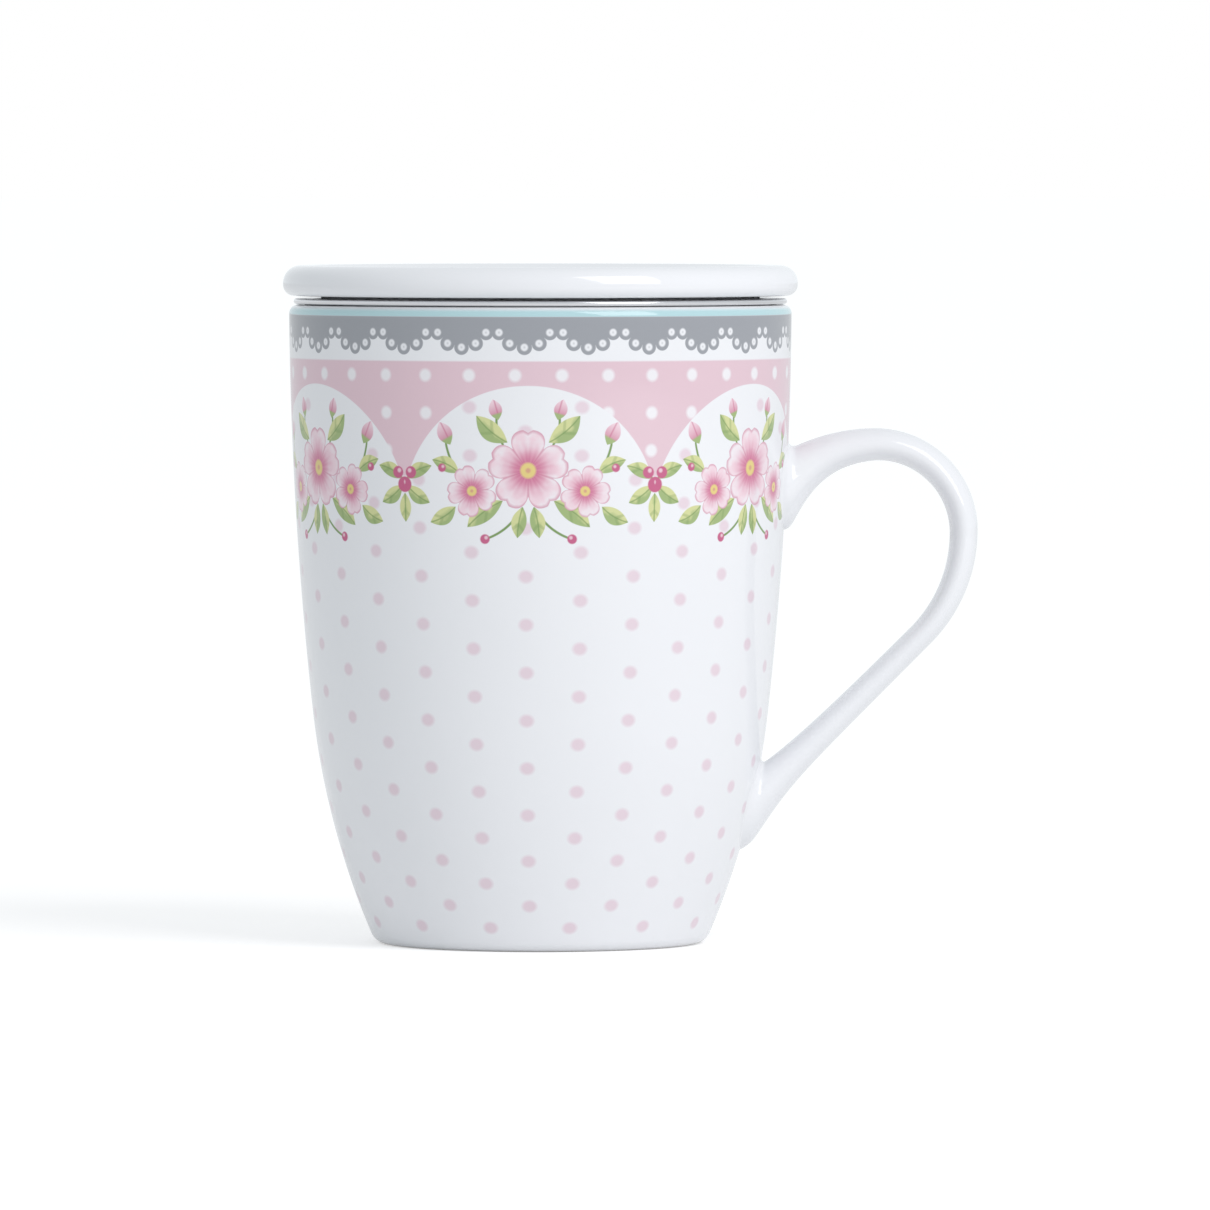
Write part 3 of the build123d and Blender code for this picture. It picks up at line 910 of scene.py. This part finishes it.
# Finish of the porcelain: spots, waves and clouds to the metre, and how much they do
GLAZE_IOR = 1.58
GLAZE_ROUGHNESS = 0.025
GLAZE_SPOTS = 90.0
GLAZE_SPOT_ROUGHNESS = 0.03
GLAZE_WAVES = 55.0
GLAZE_WAVE_HEIGHT = 0.06 * MM
BARE_ROUGHNESS = 0.5
CLOUDS = 38.0
CLOUD_DETAIL = 4.0
CLOUD_SHADE = 0.965
# Softness of the edge of the wiped glaze on the foot and under the lid, in millimetres
FOOT_WIPE = 0.1
LID_WIPE = 0.2


def glaze(tree, shader, place, paint, bare, colours):
    """Clear gloss glaze over a colour, wiped off where bare is 1, with the slow waves of poured glaze."""
    rough = noise(tree, place, GLAZE_SPOTS) * GLAZE_SPOT_ROUGHNESS + GLAZE_ROUGHNESS
    plug(tree, mixed(tree, paint, colours.biscuit, bare), shader.inputs["Base Color"])
    plug(tree, bare * BARE_ROUGHNESS + rough, shader.inputs["Roughness"])
    shader.inputs["IOR"].default_value = GLAZE_IOR
    raise_surface(tree, shader, noise(tree, place, GLAZE_WAVES), GLAZE_WAVE_HEIGHT)


def porcelain_tone(tree, place, colours):
    """White body colour, very slightly clouded as fired porcelain is."""
    cloudy = tuple(channel * CLOUD_SHADE for channel in colours.porcelain)
    return mixed(tree, colours.porcelain, cloudy, noise(tree, place, CLOUDS, CLOUD_DETAIL))


def wiped(height, bare_below, softness):
    """1 below a height, where the glaze was wiped off so that the piece could stand in the kiln."""
    return ((bare_below - height) * PER_METRE).inside(softness)


def white_porcelain(colours, name, bare_below):
    """Plain glazed porcelain, wiped bare below a height."""
    material, tree, shader = new_material(name)
    place = Place(tree)
    bare = wiped(place.z, bare_below, LID_WIPE)
    glaze(tree, shader, place, porcelain_tone(tree, place, colours), bare, colours)
    return material


# The printed flowers, in shares of a flower's radius, of the way out to its edge or of half a petal's width
# An EDGE is how soft an edge is, and an INK how strongly a colour is laid
PETALS = 5
PETAL_DIP, PETAL_FULLNESS = 0.36, 4.0
PETAL_NOTCH, NOTCH_WIDTH = 0.08, 0.2
PALING_START, PALING_WIDTH, PALING_EASE = 0.3, 0.5, 0.2
VEIN_WAVES, VEIN_END, VEIN_INK = 1.75, 0.74, 0.6
WASH_START, WASH_INK = 0.35, 1.3
THROAT, THROAT_EDGE, THROAT_INK = 0.36, 0.3, 0.55
OUTLINE, OUTLINE_EDGE, OUTLINE_INK = 0.945, 0.08, 0.6
PARTING, PARTING_EDGE = 0.93, 0.12
HEART, HEART_EDGE = 0.19, 0.06
HEART_EYE, HEART_EYE_EDGE, HEART_EYE_INK = 0.06, 0.05, 0.5
# Half widths of stems, ribs and folds, and the distance between the side ribs of a leaf, in millimetres
STEM, STEM_LENS = 0.2, 1.0
RIB, RIB_EDGE, RIB_INK = 0.11, 0.14, 0.75
FOLD, FOLD_PLACE, FOLD_EDGE, FOLD_INK = 0.12, 0.2, 0.2, 0.6
SIDE_RIB_PITCH = 3.93
# The crest of the wave of side ribs that is inked, and the place of the lit half of a leaf
SIDE_RIB_CREST, SIDE_RIB_EDGE, SIDE_RIB_INK = 0.86, 0.2, 0.35
LIT_HALF, LIT_HALF_EDGE, LIT_HALF_WASH = 0.3, 0.9, 0.8
# The green cup of a bud in shares of its length, and how fast the bud pales along it
CUP, CUP_EDGE = 0.3, 0.1
BUD_PALING = 1.1
# The soft edge of a berry in millimetres, and its light spot in shares of its radius
BERRY_EDGE = 0.2
SPOT_ASIDE, SPOT_ABOVE, SPOT_RADIUS = 0.25, 0.3, 0.35
SPOT_EDGE, SPOT_INK = 0.25, 0.8
# Patches of wash to the metre, and the level and contrast that make them
WASHES = 420.0
WASH_LEVEL = 0.42
WASH_CONTRAST = 4.0
# Places across and up of the eyelets of half a scallop of lace, in millimetres
EYELETS = ((0.0, 100.2), (2.42, 100.85), (4.18, 102.63))
# How white the eyelets and the dots of the band are, and how grey the points in the eyelets
EYELET_WHITE = 0.95
BAND_DOT_WHITE = 0.88
THREAD_GREY = 0.4


class Drawing:
    """A print being laid on the wall: its colour so far, and each point's place on the unrolled wall.

    The level runs up the wall and the distance around runs across it, both in millimetres.
    """

    def __init__(self, tree, sizes, colours):
        attribute = tree.nodes.new("ShaderNodeAttribute")
        attribute.attribute_name = "level"
        self.tree = tree
        self.sizes = sizes
        self.colours = colours
        self.softness = sizes.edge
        self.place = Place(tree)
        self.level = Field(tree, attribute.outputs["Fac"])
        self.bearing = self.place.x.math("ARCTAN2", 0.0 - self.place.y)
        self.around = self.place.from_axis() * PER_METRE
        patches = noise(tree, self.place, WASHES) - WASH_LEVEL
        self.wash = patches.math("MULTIPLY", WASH_CONTRAST, clamp=True)
        self.paint = porcelain_tone(tree, self.place, colours)

    def across(self, turn, copies):
        """Distance across the wall from the nearest of so many even places, one of them at a bearing."""
        return (self.bearing - turn).fold(2 * math.pi / copies) * self.around

    def lay(self, over, share):
        """Lays a colour over the print where the share is 1."""
        self.paint = mixed(self.tree, self.paint, over, share)

    def blend(self, tone, *layers):
        """Colour with layers laid over it, each a (colour, mask, strength)."""
        for over, mask, strength in layers:
            tone = mixed(self.tree, tone, over, mask * strength)
        return tone

    def distance(self, across, centre, level):
        """Distance from a point of the print."""
        return hypotenuse(across - centre, self.level - level)

    def blossom(self, across, centre, level, radius, turn):
        """Five-petalled flower whose edge dips between its petals and is notched in the middle of each.

        Its edge lies at 1 - dip * petal ** fullness - notch of the radius, where petal goes from 0 in the
        middle of a petal to 1 at its side.
        """
        colours = self.colours
        deep = colours.petal_deep
        aside, above = across - centre, self.level - level
        reach = hypotenuse(aside, above) / radius
        bearing = aside.math("ARCTAN2", above) - math.radians(turn)
        petal = abs(bearing.fold(2 * math.pi / PETALS)) * (PETALS / math.pi)
        notch = (1.0 - petal / NOTCH_WIDTH).most(0.0)
        edge = 1.0 - petal.math("POWER", PETAL_FULLNESS) * PETAL_DIP - notch * PETAL_NOTCH
        share = reach / edge
        paling = ((share - PALING_START) / PALING_WIDTH).math("SMOOTH_MIN", 1.0, PALING_EASE).most(0.0)
        wave = (petal * (2 * math.pi * VEIN_WAVES)).sin() * 0.5 + 0.5
        vein = wave * (1.0 - share / VEIN_END).most(0.0)
        outline = (share - OUTLINE).inside(OUTLINE_EDGE).most((petal - PARTING).inside(PARTING_EDGE))
        tone = self.blend(
            colours.petal_mid,
            (colours.petal_pale, paling, 1.0),
            (colours.porcelain, self.wash * (share - WASH_START).most(0.0), WASH_INK),
            (deep, vein, VEIN_INK),
            (deep, (THROAT - reach).inside(THROAT_EDGE), THROAT_INK),
            (deep, outline, OUTLINE_INK),
            (colours.heart, (HEART - reach).inside(HEART_EDGE), 1.0),
            (deep, (HEART_EYE - reach).inside(HEART_EYE_EDGE), HEART_EYE_INK),
        )
        self.lay(tone, ((edge - reach) * radius).inside(self.softness))

    def blade(self, across, start, level, bearing, length, half_width, bend=0.0):
        """Share along a bent lens that leaves a point at a bearing, place beside its rib, and its mask."""
        cos, sin = math.cos(math.radians(bearing)), math.sin(math.radians(bearing))
        aside, above = across - start, self.level - level
        along = (aside * cos + above * sin) / length
        belly = along * (1.0 - along) * 4.0
        beside = above * cos - aside * sin - belly * bend
        return along, beside, (belly * half_width - abs(beside)).inside(self.softness)

    def leaf(self, across, start, level, bearing, length, half_width, bend=0.0):
        """Leaf with a light and a dark half along its rib, and side ribs."""
        colours = self.colours
        along, beside, mask = self.blade(across, start, level, bearing, length, half_width, bend)
        side_rib = ((abs(beside) - along * length) * (2 * math.pi / SIDE_RIB_PITCH)).sin()
        lit = (beside + self.wash * LIT_HALF_WASH - LIT_HALF).inside(LIT_HALF_EDGE)
        tone = self.blend(
            colours.leaf_dark,
            (colours.leaf_light, lit, 1.0),
            (colours.stem, (RIB - abs(beside)).inside(RIB_EDGE), RIB_INK),
            (colours.stem, (side_rib - SIDE_RIB_CREST).inside(SIDE_RIB_EDGE), SIDE_RIB_INK),
        )
        self.lay(tone, mask)

    def stem(self, across, start, level, bearing, length, bend):
        """Thin stem along a shallow parabola."""
        beside, mask = self.blade(across, start, level, bearing, length, STEM_LENS, bend)[1:]
        self.lay(self.colours.stem, (STEM - abs(beside)).inside(self.softness) * mask)

    def bud(self, across, start, level, bearing, length, half_width):
        """Closed flower in its green cup, with a fold to one side of its middle."""
        colours = self.colours
        along, beside, mask = self.blade(across, start, level, bearing, length, half_width)
        tone = self.blend(
            colours.petal_deep,
            (colours.petal_pale, along, BUD_PALING),
            (colours.petal_deep, (FOLD - abs(beside - FOLD_PLACE)).inside(FOLD_EDGE), FOLD_INK),
            (colours.leaf_dark, (CUP - along).inside(CUP_EDGE), 1.0),
        )
        self.lay(tone, mask)

    def berry(self, across, centre, level, radius):
        """Round berry with a light spot."""
        from_middle = self.distance(across, centre, level)
        from_spot = self.distance(across, centre - radius * SPOT_ASIDE, level + radius * SPOT_ABOVE)
        self.lay(self.colours.petal_deep, (radius - from_middle).inside(BERRY_EDGE))
        self.lay(self.colours.petal_pale, (radius * SPOT_RADIUS - from_spot).inside(SPOT_EDGE) * SPOT_INK)


def draw_rim_line(drawing):
    """Pale line just below the lip."""
    level, sizes = drawing.level, drawing.sizes
    span = (level - sizes.line_low).inside(sizes.edge) * (sizes.line_high - level).inside(sizes.line_edge)
    drawing.lay(drawing.colours.line, span)


def draw_lace(drawing):
    """Scalloped lace under the line.

    Its lower edge runs through the eyelets of each scallop, and a ring of lace stands round every eyelet.
    """
    level, sizes, colours = drawing.level, drawing.sizes, drawing.colours
    across = abs(drawing.across(sizes.lace_turn, sizes.lace_count))
    first, second, third = EYELETS
    slope = (second[1] - first[1]) / second[0]
    steep = (third[1] - second[1]) / (third[0] - second[0])
    low = (across * slope + first[1]).most((across - second[0]) * steep + second[1]).least(third[1])
    nearest = drawing.distance(across, *first)
    for eyelet in (second, third):
        nearest = nearest.least(drawing.distance(across, *eyelet))
    cloth = (level - low).inside(sizes.edge).most((sizes.lace_disc - nearest).inside(sizes.edge))
    drawing.lay(colours.lace, cloth * (sizes.line_low - level).inside(sizes.edge))
    drawing.lay(colours.porcelain, (sizes.lace_hole - nearest).inside(sizes.eyelet_edge) * EYELET_WHITE)
    drawing.lay(colours.lace, (sizes.lace_thread - nearest).inside(sizes.eyelet_edge) * THREAD_GREY)


def draw_dots(drawing):
    """Staggered dots that run up from the foot into the arches."""
    level, sizes = drawing.level, drawing.sizes
    step = (level - sizes.dot_level) / sizes.dot_pitch
    row = (step + 0.5).math("FLOOR")
    turn = row.math("PINGPONG", 1.0) * (math.pi / sizes.dot_count) + sizes.dot_turn
    across = drawing.across(turn, sizes.dot_count) / sizes.dot_stretch
    reach = hypotenuse(across, (step - row) * sizes.dot_pitch)
    span = (level - sizes.dot_low).inside(sizes.dot_cut) * (sizes.dot_high - level).inside(sizes.dot_cut)
    drawing.lay(drawing.colours.dots, (sizes.dot_radius - reach).inside(sizes.dot_edge) * span)


def draw_band(drawing, across):
    """Dotted band with round arches cut out of its lower edge."""
    level, sizes, colours = drawing.level, drawing.sizes, drawing.colours
    aside = drawing.across(sizes.band_turn, sizes.band_dots)
    reach = hypotenuse(aside, (level - sizes.band_level).fold(sizes.band_pitch))
    dots = (sizes.dot_radius - reach).inside(sizes.dot_edge)
    cloth = (drawing.distance(across, 0.0, sizes.arch_centre) - sizes.arch_radius).inside(sizes.edge)
    span = (sizes.band_high - level).inside(sizes.eyelet_edge) * (level - sizes.band_low).inside(sizes.edge)
    drawing.lay(drawing.blend(colours.band, (colours.porcelain, dots, BAND_DOT_WHITE)), cloth * span)


def draw_all(drawing, across, part, rows):
    """Draws one kind of part for each row of a table, which lists the part's own place, level and sizes.

    They are in millimetres, and its bearing or turn is in degrees.
    """
    for row in rows:
        part(drawing, across, *row)


def draw_posy(drawing, across):
    """Even posy in an arch, drawn for one side and folded onto the other."""
    stems = ((9.0, 77.0, 58.0, 9.4, -1.0), (4.0, 84.0, 78.0, 5.4, -0.5), (1.0, 74.0, -40.0, 8.4, -0.9))
    leaves = (
        (3.4, 84.6, 40.0, 6.8, 1.6, -0.4),
        (4.2, 75.0, -36.0, 7.4, 1.6, 0.4),
        (0.9, 74.0, -80.0, 5.2, 1.25, 0.2),
        (12.2, 74.0, -30.0, 5.2, 1.35, -0.4),
        (11.6, 79.6, 24.0, 5.2, 1.25, 0.4),
    )
    draw_all(drawing, across, Drawing.stem, stems)
    draw_all(drawing, across, Drawing.leaf, leaves)
    draw_all(drawing, across, Drawing.bud, ((13.1, 84.2, 62.0, 4.2, 1.3), (4.9, 88.3, 74.0, 3.5, 1.1)))
    draw_all(drawing, across, Drawing.blossom, ((9.4, 76.6, 4.3, 24.0), (0.0, 80.0, 6.7, 0.0)))
    draw_all(drawing, across, Drawing.berry, ((7.2, 68.7, 0.8), (14.6, 80.4, 0.7)))


def draw_sprig(drawing, across):
    """Small sprig of leaves and berries at the foot of each stem of the band."""
    leaves = (
        (0.4, 78.6, 24.0, 5.2, 1.2, 0.4),
        (0.5, 77.4, -34.0, 5.0, 1.25, -0.3),
        (0.0, 76.2, -90.0, 4.8, 1.1),
    )
    draw_all(drawing, across, Drawing.leaf, leaves)
    draw_all(drawing, across, Drawing.berry, ((1.25, 79.6, 1.0), (0.0, 77.6, 1.3)))


def printed_porcelain(settings):
    """Glazed porcelain of the body with a printed border, posies and dots."""
    sizes, colours = settings.print_sizes, settings.print_colours
    material, tree, shader = new_material("printed_porcelain")
    drawing = Drawing(tree, sizes, colours)
    across_arch = abs(drawing.across(sizes.arch_turn, sizes.arch_count))
    across_stem = abs(drawing.across(sizes.arch_turn + math.pi / sizes.arch_count, sizes.arch_count))
    draw_dots(drawing)
    draw_rim_line(drawing)
    draw_lace(drawing)
    draw_band(drawing, across_arch)
    draw_posy(drawing, across_arch)
    draw_sprig(drawing, across_stem)
    bare = wiped(drawing.place.z, settings.mug.bare_height, FOOT_WIPE)
    glaze(tree, shader, drawing.place, drawing.paint, bare, colours)
    return material


# Finish of the steel: patches to the metre and their shade, and how much the lines roughen it
PATCHES = 120.0
PATCH_SHADE = 0.9
LINE_DETAIL = 3.0
LINE_ROUGHNESS = 0.12


def steel(name, tone, rough, lines, depth):
    """Stainless steel with fine lines left by turning, so many to the metre."""
    material, tree, shader = new_material(name)
    place = Place(tree)
    node = tree.nodes.new("ShaderNodeTexNoise")
    node.noise_dimensions = "1D"
    node.inputs["Scale"].default_value = lines
    node.inputs["Detail"].default_value = LINE_DETAIL
    plug(tree, place.from_axis() + place.z, node.inputs["W"])
    grain = Field(tree, node.outputs["Fac"])
    shade = tuple(channel * PATCH_SHADE for channel in tone)
    plug(tree, mixed(tree, tone, shade, noise(tree, place, PATCHES)), shader.inputs["Base Color"])
    shader.inputs["Metallic"].default_value = 1.0
    plug(tree, grain * LINE_ROUGHNESS + rough, shader.inputs["Roughness"])
    raise_surface(tree, shader, grain, depth)
    return material


# Stage


def light_path(tree):
    """Fields that are 1 for rays straight from the camera, and for rays off glossy surfaces."""
    node = tree.nodes.new("ShaderNodeLightPath")
    return Field(tree, node.outputs["Is Camera Ray"]), Field(tree, node.outputs["Is Glossy Ray"])


def add_floor(stage):
    """Large round floor, white to the camera, that keeps a soft shadow and isn't a lamp.

    Its glow is less near the mug, where the soft box lights it: glow - dip * exp(-distance / fade).
    """
    mesh = bpy.data.meshes.new("floor")
    edge = arc((0.0, 0.0), stage.floor_radius, 0.0, 2 * math.pi, steps=FLOOR_COLUMNS + 1)[:-1]
    points = np.column_stack((edge, np.zeros(len(edge))))
    mesh.from_pydata(points, [], [list(range(len(points)))])
    floor = bpy.data.objects.new("floor", mesh)
    bpy.context.scene.collection.objects.link(floor)
    material = bpy.data.materials.new("floor")
    material.use_nodes = True
    material.cycles.emission_sampling = "NONE"
    tree = material.node_tree
    tree.nodes.clear()
    camera, glossy = light_path(tree)
    diffuse = tree.nodes.new("ShaderNodeBsdfDiffuse")
    plug(tree, (stage.floor_white,) * 3, diffuse.inputs["Color"])
    glow = tree.nodes.new("ShaderNodeEmission")
    near = (Place(tree).from_axis() / -stage.floor_fade).math("EXPONENT")
    plug(tree, stage.floor_glow - near * stage.floor_dip, glow.inputs["Strength"])
    blend = tree.nodes.new("ShaderNodeMixShader")
    plug(tree, camera * stage.floor_camera + glossy * stage.floor_glossy, blend.inputs["Fac"])
    tree.links.new(diffuse.outputs["BSDF"], blend.inputs[1])
    tree.links.new(glow.outputs["Emission"], blend.inputs[2])
    output = tree.nodes.new("ShaderNodeOutputMaterial")
    tree.links.new(blend.outputs["Shader"], output.inputs["Surface"])
    mesh.materials.append(material)


def add_world(stage):
    """Even light from all round, white where the camera sees it."""
    world = bpy.data.worlds.new("studio")
    world.use_nodes = True
    bpy.context.scene.world = world
    tree = world.node_tree
    background = tree.nodes["Background"]
    camera, glossy = light_path(tree)
    more_camera, more_glossy = 1.0 - stage.ambient, stage.ambient_glossy - stage.ambient
    plug(tree, camera * more_camera + glossy * more_glossy + stage.ambient, background.inputs["Strength"])
    white = (1.0, 1.0, 1.0)
    plug(tree, mixed(tree, stage.ambient_tint, white, camera), background.inputs["Color"])


def place_object(data, location, back):
    """Object of a lamp or camera at a place, turned so that its back points along a direction."""
    item = bpy.data.objects.new(data.name, data)
    item.location = location
    item.rotation_mode = "QUATERNION"
    item.rotation_quaternion = back.to_track_quat("Z", "Y")
    bpy.context.scene.collection.objects.link(item)
    return item


def direction(bearing, height):
    """Unit vector at a bearing to the right of the camera and at an angle above the table."""
    flat = math.cos(height)
    return Vector((math.sin(bearing) * flat, -math.cos(bearing) * flat, math.sin(height)))


def add_key(stage):
    """Tall soft box to the right of the camera."""
    data = bpy.data.lights.new("key", "AREA")
    data.shape = "RECTANGLE"
    data.size = stage.key_width
    data.size_y = stage.key_tall
    data.energy = stage.key_power
    data.color = stage.key_tint
    back = direction(stage.key_bearing, stage.key_height)
    place_object(data, Vector(stage.target) + back * stage.key_distance, back)


def add_camera(stage):
    """Camera at the angle of the photograph."""
    data = bpy.data.cameras.new("camera")
    data.lens = data.sensor_width * stage.distance / stage.frame_width
    data.clip_end = 2 * stage.floor_radius
    back = direction(0.0, stage.pitch)
    camera = place_object(data, Vector(stage.target) + back * stage.distance, back)
    bpy.context.scene.camera = camera


# Operators


class TEA_MUG_OT_body(bpy.types.Operator):
    """Builds the printed porcelain body"""

    bl_idname = "tea_mug.body"
    bl_label = "Body"

    def execute(self, context):
        settings = context.scene.tea_mug
        profile, first_outside, straight_from = mug_profile(settings.mug)
        points, faces = turned(profile)
        material = printed_porcelain(settings)
        piece = add_piece("mug_body", points, faces, "mug", material)
        level = unrolled_level(profile, first_outside, straight_from)
        values = np.concatenate((np.repeat(level[1:-1], COLUMNS), level[[0, -1]]))
        attribute = piece.data.attributes.new("level", "FLOAT", "POINT")
        attribute.data.foreach_set("value", values.astype(np.float32))
        return {"FINISHED"}


class TEA_MUG_OT_handle(bpy.types.Operator):
    """Builds the porcelain handle"""

    bl_idname = "tea_mug.handle"
    bl_label = "Handle"

    def execute(self, context):
        settings = context.scene.tea_mug
        points, faces = handle_surface(settings.handle, settings.mug)
        material = white_porcelain(settings.print_colours, "handle_porcelain", 0.0)
        add_piece("mug_handle", points, faces, "mug", material)
        return {"FINISHED"}


class TEA_MUG_OT_lid(bpy.types.Operator):
    """Builds the porcelain lid"""

    bl_idname = "tea_mug.lid"
    bl_label = "Lid"

    def execute(self, context):
        settings = context.scene.tea_mug
        points, faces = turned(lid_profile(settings.lid, LID_LOW.z, LID_HIGH.z))
        bare_below = LID_LOW.z + settings.lid.bare_height
        material = white_porcelain(settings.print_colours, "lid_porcelain", bare_below)
        add_piece("lid", points, faces, "lid", material)
        return {"FINISHED"}


class TEA_MUG_OT_infuser(bpy.types.Operator):
    """Builds the flange and collar, the perforated wall and the perforated base of the infuser"""

    bl_idname = "tea_mug.infuser"
    bl_label = "Infuser"

    def execute(self, context):
        settings = context.scene.tea_mug
        sizes, look = settings.infuser, settings.steel
        cone = Cone(sizes, BASE_LOW.z, COLLAR_HIGH.z)
        finish = (look.polished, look.polished_rough, look.polished_lines, look.polished_depth)
        polished = steel("polished_steel", *finish)
        finish = (look.satin, look.satin_rough, look.satin_lines, look.satin_depth)
        satin = steel("perforated_steel", *finish)
        points, faces = turned(collar_profile(sizes, cone, COLLAR_LOW.z, COLLAR_HIGH.z))
        add_piece("infuser_collar", points, faces, "infuser", polished)
        points, faces = infuser_wall(sizes, cone)
        add_piece("infuser_wall", points, faces, "infuser", satin)
        points, faces = infuser_base(sizes, cone)
        add_piece("infuser_base", points, faces, "infuser", satin)
        return {"FINISHED"}


class TEA_MUG_OT_stage(bpy.types.Operator):
    """Sets the floor, the light and the camera"""

    bl_idname = "tea_mug.stage"
    bl_label = "Stage"

    def execute(self, context):
        stage = context.scene.tea_mug.stage
        context.scene.view_settings.view_transform = "Standard"
        add_floor(stage)
        add_world(stage)
        add_key(stage)
        add_camera(stage)
        return {"FINISHED"}


class TEA_MUG_PT_panel(bpy.types.Panel):
    """Lists the steps that build the mug"""

    bl_label = "Tea Mug"
    bl_idname = "TEA_MUG_PT_panel"
    bl_space_type = "VIEW_3D"
    bl_region_type = "UI"
    bl_category = "Tea Mug"

    def draw(self, context):
        for operator in OPERATORS:
            self.layout.operator(operator.bl_idname)


SIZES = (MugSizes, HandleSizes, LidSizes, InfuserSizes, PrintSizes)
GROUPS = (*SIZES, PrintColours, SteelFinish, StageSettings, TeaMugSettings)
OPERATORS = (TEA_MUG_OT_body, TEA_MUG_OT_handle, TEA_MUG_OT_infuser, TEA_MUG_OT_lid, TEA_MUG_OT_stage)


def register():
    """Registers the settings, the operators and the panel."""
    for group in (*GROUPS, *OPERATORS, TEA_MUG_PT_panel):
        bpy.utils.register_class(group)
    bpy.types.Scene.tea_mug = PointerProperty(type=TeaMugSettings)


def unregister():
    """Takes the panel, the operators and the settings away again."""
    del bpy.types.Scene.tea_mug
    for group in (TEA_MUG_PT_panel, *reversed(OPERATORS), *reversed(GROUPS)):
        bpy.utils.unregister_class(group)


def main():
    """Builds the mug and its stage."""
    register()
    bpy.ops.tea_mug.body()
    bpy.ops.tea_mug.handle()
    bpy.ops.tea_mug.infuser()
    bpy.ops.tea_mug.lid()
    bpy.ops.tea_mug.stage()


if __name__ == "__main__":
    main()
